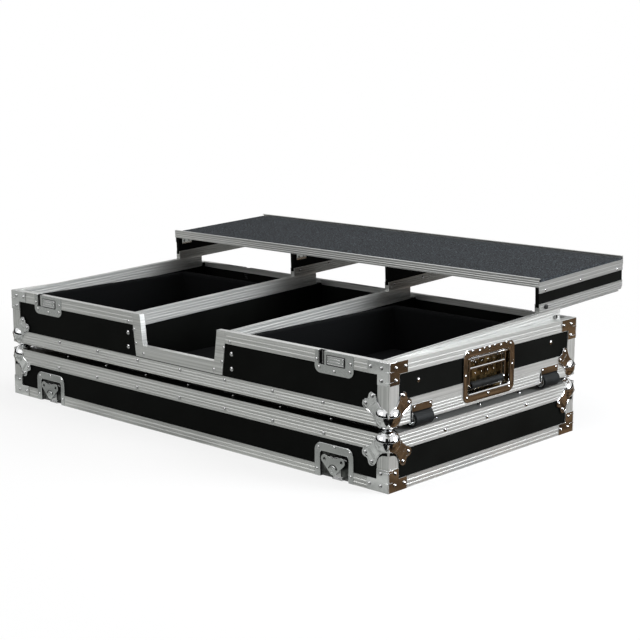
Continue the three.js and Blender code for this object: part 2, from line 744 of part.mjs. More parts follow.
// Shelf edge frame: side angles over the outer legs and the board's rebate, and at the front and the rear
// an upright strip that stands above the carpet and turns over its edge
function edge_trim(y_face, direction) {
  const high = board_low + edge_trim_height;
  const y = (depth) => y_face + direction * depth;
  const ribs = grooved(board_low, high, 3).map(([w, v]) => [y(-w), v]);
  const section = [...ribs, [y(edge_trim_lip), high], [y(edge_trim_lip), high - edge_trim_sheet],
    [y(edge_trim_sheet), high - edge_trim_sheet], [y(edge_trim_sheet), board_low]];
  const piece = new THREE.ExtrudeGeometry(outline(section), { depth: 2 * shelf_half, bevelEnabled: false });
  return piece.rotateX(quarter).rotateZ(quarter).translate(-shelf_half, 0, 0);
}
function shelf_side_edge(side) {
  const outer = grooved(board_top - shelf_edge_face, board_top, 2)
    .map(([w, v]) => [side * (shelf_half + w), v]);
  const section = [
    ...outer, [side * (shelf_half - shelf_edge_under), board_top],
    [side * (shelf_half - shelf_edge_under), board_top - shelf_edge_sheet],
    [side * (shelf_half - shelf_edge_sheet), board_top - shelf_edge_sheet],
    [side * (shelf_half - shelf_edge_sheet), board_top - shelf_edge_face],
  ];
  return along_y(section, -seat - weld, shelf_depth + seat + weld);
}
const trim_front = -edge_trim_sheet - seat;
add('shelf_edge_frame', joined(
  edge_trim(trim_front, 1),
  edge_trim(shelf_depth - trim_front, -1),
  ...sides.map(shelf_side_edge)), aluminium, shelf);

// Four legs of plywood with angle brackets under the board. Each stands in a runner whose tongue slides in
// its rail, and is round at its lower rear corner.
const runner_low = seat;
const leg_high = board_low - seat;
function runner_section() {
  const half = rail_width / 2;
  const high = runner_low + runner_height;
  const neck = slot_neck / 2 - slot_clear;
  const head = slot_head / 2 - slot_clear;
  const tongue_low = -slot_neck_depth - slot_head_depth + slot_clear;
  const tongue_high = -slot_neck_depth - slot_clear;
  const right = [
    [head, tongue_low], [head, tongue_high], [neck, tongue_high], [neck, runner_low], [half, runner_low],
    [half, high],
  ];
  return [...right, ...[...right].reverse().map(([x, z]) => [-x, z])];
}
function leg_corner() {
  const y = shelf_depth - leg_round;
  const z = runner_low + leg_round;
  const shape = new THREE.Shape();
  shape.moveTo(y, z - leg_round - overrun);
  shape.lineTo(y, z - leg_round);
  shape.absarc(y, z, leg_round, -quarter, 0);
  shape.lineTo(y + overrun, z);
  shape.lineTo(y + overrun, z - leg_round - overrun);
  return slab(shape, -rail_width, rail_width).rotateX(quarter).rotateZ(quarter);
}
function leg_bracket(side, y) {
  const face = side * (leg_panel / 2 - weld);
  const section = [
    [face, leg_high], [face, leg_high - bracket_arm], [face + side * bracket_sheet, leg_high - bracket_arm],
    [face + side * bracket_sheet, leg_high - bracket_sheet],
    [face + side * bracket_arm, leg_high - bracket_sheet],
    [face + side * bracket_arm, leg_high],
  ];
  return along_y(section, y, y + bracket_length);
}
const bracket_places = [bracket_from_edge, shelf_depth - bracket_from_edge - bracket_length];
function shelf_leg(x, bracket_side, knob_side) {
  const plate = block(-leg_panel / 2, 0, runner_low + weld, leg_panel / 2, shelf_depth, leg_high);
  const pieces = [
    plate,
    along_y(runner_section(), 0, shelf_depth),
    ...bracket_places.map((y) => leg_bracket(bracket_side, y)),
  ];
  if (knob_side) {
    const knob = rod(bumper_radius, 0, rail_width / 2 + bumper_height, 'x', 12);
    if (knob_side < 0) knob.rotateZ(2 * quarter);
    pieces.push(knob.translate(0, knob_from_front, knob_up));
  }
  return cut(joined(...pieces), leg_corner()).translate(x, 0, 0);
}
add('shelf_leg_outer_left', shelf_leg(-rail_x, 1, -1), laminate, shelf);
add('shelf_leg_inner_left', shelf_leg(-partition_x, 1, 0), laminate, shelf);
add('shelf_leg_inner_right', shelf_leg(partition_x, -1, 0), laminate, shelf);
add('shelf_leg_outer_right', shelf_leg(rail_x, -1, 1), laminate, shelf);

// Latch dishes: a frame, open at the floor, round a shallow pan
function latch_dish() {
  const frame = rounded(-dish_half, 0, dish_half, dish_height, [0, 0, dish_round, dish_round]);
  const window = rectangle(-dish_opening_half, -overrun, dish_opening_half, dish_opening_height);
  const wall = u_strip(-dish_opening_half, dish_opening_half, 0, dish_opening_height, dish_wall);
  const back = rectangle(
    -dish_opening_half - dish_wall, 0, dish_opening_half + dish_wall, dish_opening_height + dish_wall);
  return joined(
    cut(slab(frame, -sheet, frame_proud), slab(window, -overrun, overrun)),
    slab(wall, -dish_depth - dish_wall, -sheet / 2),
    slab(back, -dish_depth - dish_wall, -dish_depth));
}

// A latch's moving pieces, drawn round the cam's axis
const wing_back = frame_proud + wing_clear;
const wing_front = wing_back + wing_sheet;
const hook_back = -dish_depth + seat;
const hook_front = hook_back + hook_sheet;
const disc_back = hook_front + seat;

// The wing: a shaft and a disc that turn in the dish, and a plate with two round lobes for the fingers
function latch_wing() {
  const shape = new THREE.Shape();
  const lobe_top = wing_lobe_v + wing_lobe_radius;
  shape.absarc(0, 0, cam_radius, -quarter - wing_foot_turn, wing_foot_turn - quarter);
  shape.lineTo(wing_lobe_u + wing_lobe_radius, wing_lobe_v);
  shape.absarc(wing_lobe_u, wing_lobe_v, wing_lobe_radius, 0, quarter);
  shape.lineTo(-wing_lobe_u, lobe_top);
  shape.absarc(-wing_lobe_u, wing_lobe_v, wing_lobe_radius, quarter, 2 * quarter);
  for (const s of sides) {
    const hole = new THREE.Path();
    hole.absarc(s * wing_lobe_u, wing_lobe_v, wing_hole_radius, 0, 4 * quarter);
    shape.holes.push(hole);
  }
  return joined(
    slab(shape, wing_back, wing_front),
    rod(shaft_radius, -dish_depth + seat, disc_back + sheet, 'z', 12),
    rod(cam_radius, disc_back, cam_proud, 'z', 16));
}

// The hook: a strap behind the cam with a window for its shaft, ending in a tip that points sideways
function latch_hook() {
  const low = hook_floor_gap - cam_height;
  const window_half = shaft_radius + turn_clear;
  const strap = outline([
    [-hook_left, hook_top], [-hook_left, low + hook_tip_height], [-hook_left / 2, low], [hook_right, low],
    [hook_right, low + hook_tip_height], [hook_arm_right, low + hook_tip_height],
    [hook_arm_right, hook_top],
  ]);
  const window = rectangle(-window_half, -window_half, window_half, window_half + hook_stroke);
  strap.holes.push(window);
  const lip = outline([
    [-hook_left / 2, low], [hook_right, low], [hook_right, low + hook_tip_height],
    [hook_right - hook_sheet, low + hook_tip_height], [hook_right - hook_sheet, low + hook_sheet],
    [-hook_left / 2, low + hook_sheet],
  ]);
  return joined(slab(strap, hook_back, hook_front), slab(lip, hook_back, -seat));
}

for (const { place, k, u } of latch_places) {
  add(`latch_dish_${place}`, on_face(latch_dish().translate(u, 0, 0), k), zinc);
  const face = group();
  face.rotation.z = k * quarter;
  const latch = group(face);
  latch.position.set(u, -half_depth, cam_height);
  latch.rotation.x = quarter;
  add(`latch_wing_${place}`, latch_wing(), zinc, latch);
  add(`latch_hook_${place}`, latch_hook(), steel, latch);
}

// Spring handles: a pan let into the end wall, a bail that swings up and out, and its grip
const handle_frame_low_z = base_z + handle_low;
const handle_frame_high_z = base_z + handle_high;
const pan_floor = -handle_depth;
function handle_dish() {
  const frame = rounded(
    -handle_half, handle_frame_low_z, handle_half, handle_frame_high_z,
    [handle_round, handle_round, handle_round, handle_round]);
  const opening = () => rectangle(
    -handle_opening_half, handle_opening_low, handle_opening_half, handle_opening_high);
  frame.holes.push(opening());
  const wall = rectangle(
    -handle_opening_half - handle_sheet, handle_opening_low - handle_sheet,
    handle_opening_half + handle_sheet, handle_opening_high + handle_sheet);
  const back = wall.clone();
  wall.holes.push(opening());
  return joined(
    slab(frame, seat, seat + handle_sheet),
    slab(wall, pan_floor - handle_sheet, seat + handle_sheet / 2),
    slab(back, pan_floor - handle_sheet, pan_floor));
}

const bail_axis_z = handle_opening_high - bail_axis_drop;
const grip_z = -bail_drop;
const grip_w = bail_axis_in - grip_in;
function bail() {
  const lean = Math.atan2(-grip_w, -grip_z);
  const arms = sides.map((s) => rod(bail_radius, -Math.hypot(grip_z, grip_w), 0, 'z')
    .rotateY(lean).translate(0, s * bail_arm_y, 0));
  const pivot = rod(bail_radius, seat - handle_opening_half, handle_opening_half - seat, 'y');
  const cross = rod(bail_radius, -bail_arm_y, bail_arm_y, 'y');
  const core = cross.clone().translate(grip_w, 0, grip_z);
  cross.translate(bail_cross_share * grip_w, 0, bail_cross_share * grip_z);
  return joined(pivot, ...arms, cross, core);
}
for (const [hand, k] of [['right', 1], ['left', 3]]) {
  const face = group();
  face.rotation.z = (k - 1) * quarter;
  const handle = group(face);
  handle.position.set(half_width - bail_axis_in, 0, bail_axis_z);
  add(`handle_dish_${hand}`, on_face(handle_dish(), k), chrome);
  add(`handle_bail_${hand}`, bail(), chrome, handle);
  const sleeve = tube(bail_radius + seat, grip_radius, -grip_half, grip_half, grip_sides);
  add(`handle_grip_${hand}`, sleeve, rubber, handle).position.set(grip_w, 0, grip_z);
}

// Edge wheels: a formed bracket with its axle, let into the corner edge, and a rubber roller
const axle_x = half_width - wheel_x_in;
const axle_z = base_z + wheel_up;
function wheel_bracket() {
  const face = half_width + seat;
  const inside = half_width - pocket_in;
  const ceiling = base_z + pocket_up;
  const under = base_z - seat;
  const low = under - bracket_plate;
  const section = [
    [face, ceiling - bracket_plate], [face + bracket_plate, ceiling - bracket_plate],
    [face + bracket_plate, base_z + bracket_top], [face, base_z + bracket_top], [face, ceiling],
    [inside - bracket_plate, ceiling], [inside - bracket_plate, under], [inside - pocket_under, under],
    [inside - pocket_under, low], [inside, low], [inside, ceiling - bracket_plate],
  ];
  const shell = along_y(section, -bracket_half, bracket_half);
  const ear = rounded(
    inside - bracket_plate / 2, low, axle_x + ear_out, ceiling - bracket_plate / 2,
    [0, ear_out, ear_out, 0]);
  const ears = sides.map((s) => slab(ear, -bracket_plate / 2, bracket_plate / 2)
    .rotateX(quarter).translate(0, s * (bracket_half - bracket_plate / 2), 0));
  const end = bracket_half + axle_head;
  const axle = [
    rod(axle_radius, -end, end, 'y', 12),
    rod(axle_head_radius, -end, -bracket_half, 'y', 12),
    rod(axle_head_radius, bracket_half, end, 'y', 12),
  ];
  return joined(shell, ...ears, ...axle.map((piece) => piece.translate(axle_x, 0, axle_z)));
}
for (const [place, s] of [['front', -1], ['rear', 1]]) {
  add(`wheel_bracket_${place}`, wheel_bracket().translate(0, s * wheel_y, 0), chrome);
  const roller = tube(axle_radius + axle_clear, wheel_radius, -wheel_half, wheel_half, wheel_sides);
  add(`edge_wheel_${place}`, roller, rubber).position.set(axle_x, s * wheel_y, axle_z);
}

// The origin is the centre of the whole kit's box, on the floor.
const extent = new THREE.Box3().setFromObject(kit);
const centre = extent.getCenter(new THREE.Vector3());
kit.position.set(-centre.x, -centre.y, -extent.min.z);

export default kit;
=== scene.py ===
"""Looks of a touring coffin case with a gliding shelf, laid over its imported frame.

Lengths are millimetres unless a comment says otherwise, and become metres in make_piece. On a wall
of the case a place is drawn as seen from outside: u to the right, v up and w outwards, with w = 0
on the outside of the aluminium. Walls are 0 front, 1 right, 2 rear and 3 left. A part is a pair of
its corners and its faces, the faces as index lists.
"""

import math

import bmesh
import bpy
import numpy as np
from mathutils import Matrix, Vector


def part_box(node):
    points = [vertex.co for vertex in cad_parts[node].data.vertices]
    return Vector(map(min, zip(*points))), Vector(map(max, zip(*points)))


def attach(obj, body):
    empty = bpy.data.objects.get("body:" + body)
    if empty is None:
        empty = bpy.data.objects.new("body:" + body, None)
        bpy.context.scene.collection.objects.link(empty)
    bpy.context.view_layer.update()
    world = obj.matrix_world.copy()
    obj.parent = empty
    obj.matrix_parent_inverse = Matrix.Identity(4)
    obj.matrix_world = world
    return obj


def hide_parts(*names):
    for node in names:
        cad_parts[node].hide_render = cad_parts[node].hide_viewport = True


bl_info = {
    "name": "Touring coffin case",
    "version": (1, 0, 0),
    "blender": (4, 5, 0),
    "location": "3D View > Sidebar > Coffin case",
    "description": "Rivets, hardware, lining and finishes of a touring case with a gliding shelf",
    "category": "Add Mesh",
}

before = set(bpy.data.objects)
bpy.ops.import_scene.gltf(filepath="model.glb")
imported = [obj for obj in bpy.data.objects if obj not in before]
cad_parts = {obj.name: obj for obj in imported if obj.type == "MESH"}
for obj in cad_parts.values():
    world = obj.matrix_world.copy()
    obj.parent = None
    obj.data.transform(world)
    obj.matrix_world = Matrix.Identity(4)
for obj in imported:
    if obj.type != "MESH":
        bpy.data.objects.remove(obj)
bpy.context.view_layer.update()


def box_mm(node):
    """Lowest and highest corner of a CAD node, in millimetres."""
    low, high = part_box(node)
    return np.array(low) * 1000, np.array(high) * 1000


# The middle of the case, the outside of its aluminium, its seams and the top of its own floor
CENTRE = sum(box_mm("base_edge_frame"))[:2] / 2
HALF_WIDTH, HALF_DEPTH = 574.5, 302.3
LID_TOP, BASE_LOW, RIM = 110.4, 124.1, 246.7
SEAT = 0.3
FLOOR_TOP = BASE_LOW + 1.9 + 9 + SEAT

# Hardware. The bail's axis and the grip are (v, w) on a side wall, the axle is (x, z)
LATCH_X, CAM_HEIGHT = 438.8, 18.0
BAIL_AXIS = np.array([213.6, 569.5 - HALF_WIDTH])
GRIP = np.array([160.2, 568.4 - HALF_WIDTH])
WHEEL_Y, AXLE = 208.3, (570.5, 127.5)
BALL_EDGE = float(box_mm("base_ball_corner_rear_right")[1][0] - CENTRE[0])

# Rails and shelf. The rails start at (y, z) and climb to the rear
RAIL_START, RAIL_LENGTH = (-286.0, 246.0), 555
RAIL_TILT = math.asin(23.2 / RAIL_LENGTH)
RAIL_X, INNER_X = 551.0, 146.6
SHELF_REST, SHELF_DEPTH, SHELF_HALF = 480.0, 317.0, RAIL_X + 6
BOARD_LOW, BOARD_HIGH = 55.0, 65.5

SIDES = (-1, 1)
HAND = {-1: "left", 1: "right"}
END = {-1: "front", 1: "rear"}
CORNERS = [(x_side, y_side) for x_side in SIDES for y_side in SIDES]
WALLS = ("front", "right", "rear", "left")
HALF_LENGTH = (HALF_WIDTH, HALF_DEPTH) * 2
DISTANCE = (HALF_DEPTH, HALF_WIDTH) * 2
# Each half of the case: which way its seam faces, and the heights of its rim and its seam
HALVES = (("lid", 1, 0.0, LID_TOP), ("base", -1, RIM, BASE_LOW))


# Places


def on_wall(points, wall):
    """Turns (u, v, w) of a wall into the case's frame: u along X and w against Y on the front,
    then a quarter turn about Z for each wall after it."""
    u, v, w = np.moveaxis(np.asarray(points, float), -1, 0)
    x, y = u, -DISTANCE[wall] - w
    for _ in range(wall):
        x, y = -y, x
    return np.stack([x + CENTRE[0], y + CENTRE[1], v], -1)


def on_rails(points, forward=0.0):
    """Turns (x, along the rails, square to them) into the case's frame, by their slope about X."""
    x, y, z = np.moveaxis(np.asarray(points, float), -1, 0)
    y = y + forward
    c, s = math.cos(RAIL_TILT), math.sin(RAIL_TILT)
    up = RAIL_START[1] + y * s + z * c
    places = [x + CENTRE[0], RAIL_START[0] + y * c - z * s + CENTRE[1], up]
    return np.stack(places, -1)


def on_shelf(points):
    """Turns a place drawn from the shelf's front edge into the case's frame."""
    return on_rails(points, SHELF_REST)


def at_centre(points):
    """Moves a place measured from the middle of the case into the case's frame."""
    return np.asarray(points, float) + np.array([CENTRE[0], CENTRE[1], 0.0])


def moved(part, place):
    """The part with every corner passed through the function place."""
    return place(part[0]), part[1]


def wall_parts(parts, wall, at=(0.0, 0.0)):
    """Parts drawn round the place (u, v) of a wall, moved to it."""
    return [moved(part, lambda p: on_wall(p + np.array([*at, 0.0]), wall)) for part in parts]


def lying(part, start, side=1):
    """A part drawn round an upright axis, with that axis laid along the first direction."""
    return moved(part, lambda p: p[:, [2, 0, 1]] * [side, 1, 1] + start)


# Surfaces


def grid(points, wrap_rows=False, wrap_columns=False):
    """Quads between the neighbours of a rows by columns array of places."""
    rows, columns = points.shape[:2]
    i = np.arange(rows if wrap_rows else rows - 1)[:, None]
    j = np.arange(columns if wrap_columns else columns - 1)[None, :]
    ni, nj = (i + 1) % rows * columns, (j + 1) % columns
    quads = np.stack([i * columns + j, i * columns + nj, ni + nj, ni + j], -1)
    return points.reshape(-1, 3), quads.reshape(-1, 4).tolist()


def drum(points):
    """Rings stacked in rows, each closed round its columns, with a flat end on both."""
    corners, faces = grid(points, wrap_columns=True)
    columns = points.shape[1]
    last = len(corners) - columns
    ends = [list(range(columns))[::-1], list(range(last, last + columns))]
    return corners, faces + ends


def slab_between(top, bottom):
    """A closed plate between two equal grids: both grids and a strip along their border."""
    rows, columns = top.shape[:2]
    corners, upper = grid(top)
    under, lower = grid(bottom)
    count = len(corners)
    border = np.concatenate([
        np.arange(columns), np.arange(1, rows) * columns + columns - 1,
        (rows - 1) * columns + np.arange(columns - 2, -1, -1),
        np.arange(rows - 2, 0, -1) * columns])
    onward = np.roll(border, -1)
    rim = np.stack([onward, border, border + count, onward + count], -1).tolist()
    lower = [[k + count for k in quad[::-1]] for quad in lower]
    return np.concatenate([corners, under]), upper + lower + rim


def at_height(loop, height):
    """An outline with the same third coordinate at every place."""
    return np.column_stack([loop, np.full(len(loop), height)])


def lofted(rows):
    """Rings of outlines, each (loop, height)."""
    return np.stack([at_height(loop, height) for loop, height in rows])


def prism(loop, low, high):
    """A plate of the outline loop from the height low to the height high."""
    return drum(lofted(((loop, low), (loop, high))))


def gathered(parts):
    """Several parts as one, with the face numbers moved up by the corners before them."""
    starts = np.cumsum([0] + [len(corners) for corners, _ in parts[:-1]]).tolist()
    faces = [[k + start for k in face] for (_, fs), start in zip(parts, starts) for face in fs]
    return np.concatenate([corners for corners, _ in parts]), faces


def arc(centre, radius, start, end, count):
    """Places on a circle from one angle to another, in degrees."""
    turn = np.radians(np.linspace(start, end, count))
    return np.column_stack([centre[0] + radius * np.cos(turn), centre[1] + radius * np.sin(turn)])


def rectangle(u0, u1, v0, v1):
    """A rectangle's four corners, anticlockwise."""
    return np.array([[u0, v0], [u1, v0], [u1, v1], [u0, v1]])


def rounded_loop(half_u, half_v, radius, centre=(0.0, 0.0), steps=7):
    """A rectangle with round corners, anticlockwise: four quarter circles joined by straights."""
    u, v = half_u - radius, half_v - radius
    corners = [(u, v, 0), (-u, v, 90), (-u, -v, 180), (u, -v, 270)]
    return np.concatenate([
        arc((centre[0] + a, centre[1] + b), radius, turn, turn + 90, steps)
        for a, b, turn in corners])


def arch_loop(half, top, radius, steps=8):
    """An arch open at v = 0: up the right side, round both upper corners, down the left side."""
    side = top - radius
    right = np.column_stack([np.full(4, half), np.linspace(0, side, 5)[:4]])
    left = np.column_stack([np.full(4, -half), np.linspace(side, 0, 5)[1:]])
    return np.concatenate([
        right, arc((half - radius, side), radius, 0, 90, steps),
        arc((radius - half, side), radius, 90, 180, steps), left])


def circle(steps):
    """Angles once round, in even steps."""
    return np.linspace(0, 2 * math.pi, steps, endpoint=False)


def swept(profile, steps=32):
    """Rings of a profile (radius, height) swept round its axis, as (a, b, height)."""
    profile = np.asarray(profile, float)
    turn = circle(steps)
    r, h = profile[:, :1], profile[:, 1:]
    return np.stack([r * np.cos(turn), r * np.sin(turn), h + 0 * turn], -1)


def turned(profile, steps=32):
    """A turned solid with flat ends: the profile (radius, height) swept round its axis."""
    return drum(swept(profile, steps))


def along_path(path, radius, steps=10, level=(0.0, 0.0, 1.0), closed=False):
    """A round bar along a path: at each place a circle square to the path, turned from level."""
    path = np.asarray(path, float)
    if closed:
        tangent = np.roll(path, -1, 0) - np.roll(path, 1, 0)
    else:
        tangent = np.gradient(path, axis=0)
    tangent /= np.linalg.norm(tangent, axis=1, keepdims=True)
    across = np.cross(np.asarray(level, float), tangent)
    across /= np.linalg.norm(across, axis=1, keepdims=True)
    up = np.cross(tangent, across)
    turn = circle(steps)[None, :, None]
    rings = path[:, None] + radius * (np.cos(turn) * across[:, None] + np.sin(turn) * up[:, None])
    return grid(rings, True, True) if closed else drum(rings)


def bar_section(section, low, high):
    """A closed section (x, z) carried straight along y, as places (x, y, z)."""
    return moved(prism(section, low, high), lambda p: p[:, [0, 2, 1]])


def domes(places, normals, radius, height, steps=10):
    """Round heads: a low dome on a short edge, copied to every place and turned to its normal."""
    normals = np.broadcast_to(np.asarray(normals, float), np.shape(places))
    shape = np.array([[1.0, -0.25], [1.0, 0.28], [0.82, 0.68], [0.45, 0.93], [0.12, 1.0]])
    local = swept(shape * [radius, height], steps)
    helper = np.where(np.abs(normals[:, 2:]) > 0.9, [[1.0, 0.0, 0.0]], [[0.0, 0.0, 1.0]])
    across = np.cross(helper, normals)
    across /= np.linalg.norm(across, axis=1, keepdims=True)
    axes = np.stack([across, np.cross(normals, across), normals], 1)
    rings = np.asarray(places)[:, None, None] + np.einsum("rsk,nkx->nrsx", local, axes)
    return gathered([drum(head) for head in rings])


def heads(spots, wall, radius, height, steps=10, at=(0.0, 0.0)):
    """Round heads on a wall at (u, v, w) from the place at, all facing outwards."""
    outward = on_wall([0.0, 0.0, 1.0], wall) - on_wall([0.0, 0.0, 0.0], wall)
    places = on_wall(np.asarray(spots, float) + [*at, 0.0], wall)
    return domes(places, outward, radius, height, steps)


# Pieces


def round_edges(piece, width, crease):
    """Rounds the edges that are sharper than the crease angle, for the looks."""
    edge = piece.modifiers.new("rounded edges", "BEVEL")
    edge.width = width / 1000
    edge.segments = 2
    edge.limit_method = "ANGLE"
    edge.angle_limit = math.radians(crease)


def make_piece(name, parts, look, body, slot, replaces=None, bevel=0.0, crease=35.0):
    """Puts parts in one mesh in metres, smooth up to the crease angle, that rides on its body."""
    corners, faces = gathered(parts)
    mesh = bpy.data.meshes.new(name)
    mesh.from_pydata((corners / 1000).tolist(), [], faces)
    shell = bmesh.new()
    shell.from_mesh(mesh)
    bmesh.ops.remove_doubles(shell, verts=shell.verts, dist=0.00001)
    bmesh.ops.recalc_face_normals(shell, faces=shell.faces)
    shell.to_mesh(mesh)
    shell.free()
    mesh.shade_smooth()
    mesh.set_sharp_from_angle(angle=math.radians(crease))
    mesh.materials.append(finish(look))
    piece = bpy.data.objects.new(name, mesh)
    bpy.context.scene.collection.objects.link(piece)
    if bevel:
        round_edges(piece, bevel, crease)
    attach(piece, body)
    if replaces:
        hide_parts(replaces)
    return piece


def dress(node, look, bevel=0.0):
    """Gives a CAD node its finish, and where asked joins its triangles and rounds its edges."""
    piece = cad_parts[node]
    piece.data.materials.clear()
    piece.data.materials.append(finish(look))
    if bevel:
        join = piece.modifiers.new("joined triangles", "WELD")
        join.merge_threshold = 0.000005
        round_edges(piece, bevel, 40)


# Finishes


def linear(colour):
    """An sRGB colour as linear light: the piecewise curve of the sRGB standard."""
    c = np.array(colour[:3], float)
    return (*np.where(c <= 0.04045, c / 12.92, ((c + 0.055) / 1.055) ** 2.4), 1.0)


def hex_colour(value):
    """A hex colour such as 0x121311 as three sRGB shares of one."""
    return tuple(((value >> shift) & 255) / 255 for shift in (16, 8, 0))


def shade(colour, share):
    """A colour made darker or lighter by a share."""
    return tuple(min(1.0, c * share) for c in colour)


def per_metre(size_mm):
    """Texture scale for cells of a real size: cells per metre."""
    return 1000.0 / size_mm


def add_node(tree, kind, inputs=(), **settings):
    """Adds a shader node, sets its settings or plain sockets, and gives its inputs a link or a
    value each."""
    node = tree.nodes.new(kind)
    for key, value in settings.items():
        if hasattr(node, key):
            setattr(node, key, value)
        else:
            node.inputs[key.replace("_", " ")].default_value = value
    for socket, source in dict(inputs).items():
        if isinstance(source, bpy.types.NodeSocket):
            tree.links.new(source, node.inputs[socket])
        else:
            node.inputs[socket].default_value = source
    return node


def new_finish(name, **sockets):
    """A material with one principled shader whose sockets are set directly."""
    made = bpy.data.materials.new(name)
    made.use_nodes = True
    tree = made.node_tree
    shader = tree.nodes["Principled BSDF"]
    for key, value in sockets.items():
        shader.inputs[key.replace("_", " ")].default_value = value
    return made, tree, shader, add_node(tree, "ShaderNodeTexCoord").outputs["Object"]


def follow(tree, shader, height, base, rough=None, bump=None):
    """Joins textures to a shader: the base colour runs from dark to light along a ramp, the
    roughness from low to high, and the bump is of a real depth, each as its own texture does."""
    by, dark, light, low, high = (*base, 0.35, 0.65)[:5]
    ramp = add_node(tree, "ShaderNodeValToRGB", {"Fac": height[by]})
    for stop, place, colour in zip(ramp.color_ramp.elements, (low, high), (dark, light)):
        stop.position = place
        stop.color = linear(colour)
    tree.links.new(ramp.outputs["Color"], shader.inputs["Base Color"])
    if rough:
        by, low, high = rough
        spread = add_node(tree, "ShaderNodeMapRange", {"Value": height[by]}, To_Min=low,
                          To_Max=high)
        tree.links.new(spread.outputs["Result"], shader.inputs["Roughness"])
    if bump:
        by, depth, strength = bump
        raised = add_node(tree, "ShaderNodeBump", {"Height": height[by]}, Distance=depth / 1000,
                          Strength=strength)
        tree.links.new(raised.outputs["Normal"], shader.inputs["Normal"])
    return ramp


NOISE, CELLS, MATH = "ShaderNodeTexNoise", "ShaderNodeTexVoronoi", "ShaderNodeMath"

# Each finish: what it is called, its fixed sockets, its textures with the size of their cells in
# millimetres, and what follows which texture. A base is two shares of the panel's colour or two
# hex colours, and the ends of their ramp. Roughness has two ends, and a bump depth and strength
FINISHES = {
    # Black phenolic laminate, pressed with a fine leather grain: a deep satin black with small
    # soft glints. The real grain is 0.5 mm, drawn at 1.2 mm so that it shows
    "laminate": dict(
        title="pressed phenolic laminate",
        sockets=dict(IOR=1.5, Specular_IOR_Level=0.03),
        textures=dict(grain=(CELLS, 1.2, {}), clouds=(NOISE, 90, dict(Detail=4.0))),
        base=("clouds", 0.85, 1.2), rough=("clouds", 0.42, 0.56), bump=("grain", 0.12, 0.5)),
    # Pressed steel, nickel and chrome plated: mirror bright, a little wavy from the press
    "chrome": dict(
        title="chrome plated pressed steel",
        sockets=dict(Metallic=1.0),
        textures=dict(waves=(NOISE, 22, dict(Detail=1.0)), smears=(NOISE, 7, dict(Detail=5.0))),
        base=("smears", 0.96, 1.0, 0.3, 0.6), rough=("smears", 0.05, 0.12),
        bump=("waves", 0.2, 0.2)),
    # Chrome with a painted reflection: a brown mottle stands for the warm floor mirrored in it, and
    # its reflections are dim
    "stained chrome": dict(
        title="chrome plated steel, stained",
        sockets=dict(Metallic=1.0), textures=dict(stains=(NOISE, 14, dict(Detail=5.0))),
        base=("stains", 0x3A3122, 0x9A8358, 0.34, 0.66), rough=("stains", 0.2, 0.35),
        bump=("stains", 0.1, 0.3)),
    # Zinc plated steel: bright but milky, with a faint crystal mottle
    "zinc": dict(
        title="zinc plated steel",
        sockets=dict(Metallic=1.0),
        textures=dict(mottle=(CELLS, 4, dict(feature="SMOOTH_F1")),
                      clouds=(NOISE, 9, dict(Detail=4.0))),
        base=("mottle", 0.97, 1.0, 0.1, 0.8), rough=("clouds", 0.16, 0.26),
        bump=("clouds", 0.05, 0.15)),
    # Zinc plated steel deep in a latch pan, with painted shade: a dark colour stands for the shadow
    # in its recess, mottled, with broken highlights
    "pan": dict(
        title="zinc plated steel, dulled",
        sockets=dict(Metallic=1.0), textures=dict(grime=(NOISE, 12, dict(Detail=6.0))),
        base=("grime", 0.4, 1.5, 0.3, 0.7), rough=("grime", 0.2, 0.45), bump=("grime", 0.3, 0.5)),
    # Nickel plated steel rivets: small bright domes that catch the light
    "rivet": dict(
        title="nickel plated steel",
        sockets=dict(Metallic=1.0), textures=dict(wear=(NOISE, 1.5, dict(Detail=3.0))),
        base=("wear", 0.9, 1.0), rough=("wear", 0.1, 0.2)),
    # Moulded black rubber: matt, with the skin of the mould and a bloom where it is rubbed
    "rubber": dict(
        title="moulded rubber",
        sockets=dict(IOR=1.52, Specular_IOR_Level=0.15),
        textures=dict(skin=(NOISE, 0.8, dict(Detail=5.0)), rub=(NOISE, 18, dict(Detail=4.0))),
        base=("rub", 1.0, 1.5), rough=("rub", 0.46, 0.66), bump=("skin", 0.1, 0.4)),
    # Moulded nylon for knobs and stops: hard, black and softly glossy. It also colours the dark
    # strips of painted shadow at the cut-out's trim, the keepers and the latch cams
    "nylon": dict(
        title="moulded nylon",
        sockets=dict(IOR=1.53, Roughness=0.3), textures=dict(skin=(NOISE, 1.2, dict(Detail=2.0))),
        base=("skin", 1.0, 1.4), bump=("skin", 0.04, 0.3)),
    # Foam faced with black felt: no gloss, short fibres that lie every way. They are finer than a
    # tenth of a millimetre, drawn as 1.5 mm tufts so that they show
    "felt": dict(
        title="felt faced foam",
        sockets=dict(IOR=1.4, Roughness=0.95, Specular_IOR_Level=0.1),
        textures=dict(fibres=(NOISE, 1.5, dict(Detail=8.0, Roughness=0.7))),
        base=("fibres", 0.6, 1.3), bump=("fibres", 0.6, 0.7)),
    # Needle felt carpet: charcoal fibres with pale and black ones mixed in, seen as specks of the
    # 3 mm between tufts. The middle of its ramp is the panel's colour
    "carpet": dict(
        title="needle felt carpet",
        sockets=dict(IOR=1.46, Roughness=0.95, Specular_IOR_Level=0.2),
        textures=dict(specks=(NOISE, 3.0, dict(Detail=4.0, Roughness=0.7))),
        base=("specks", 0.25, 3.6, 0.36, 0.72), bump=("specks", 1.2, 0.8), middle=0.5),
}


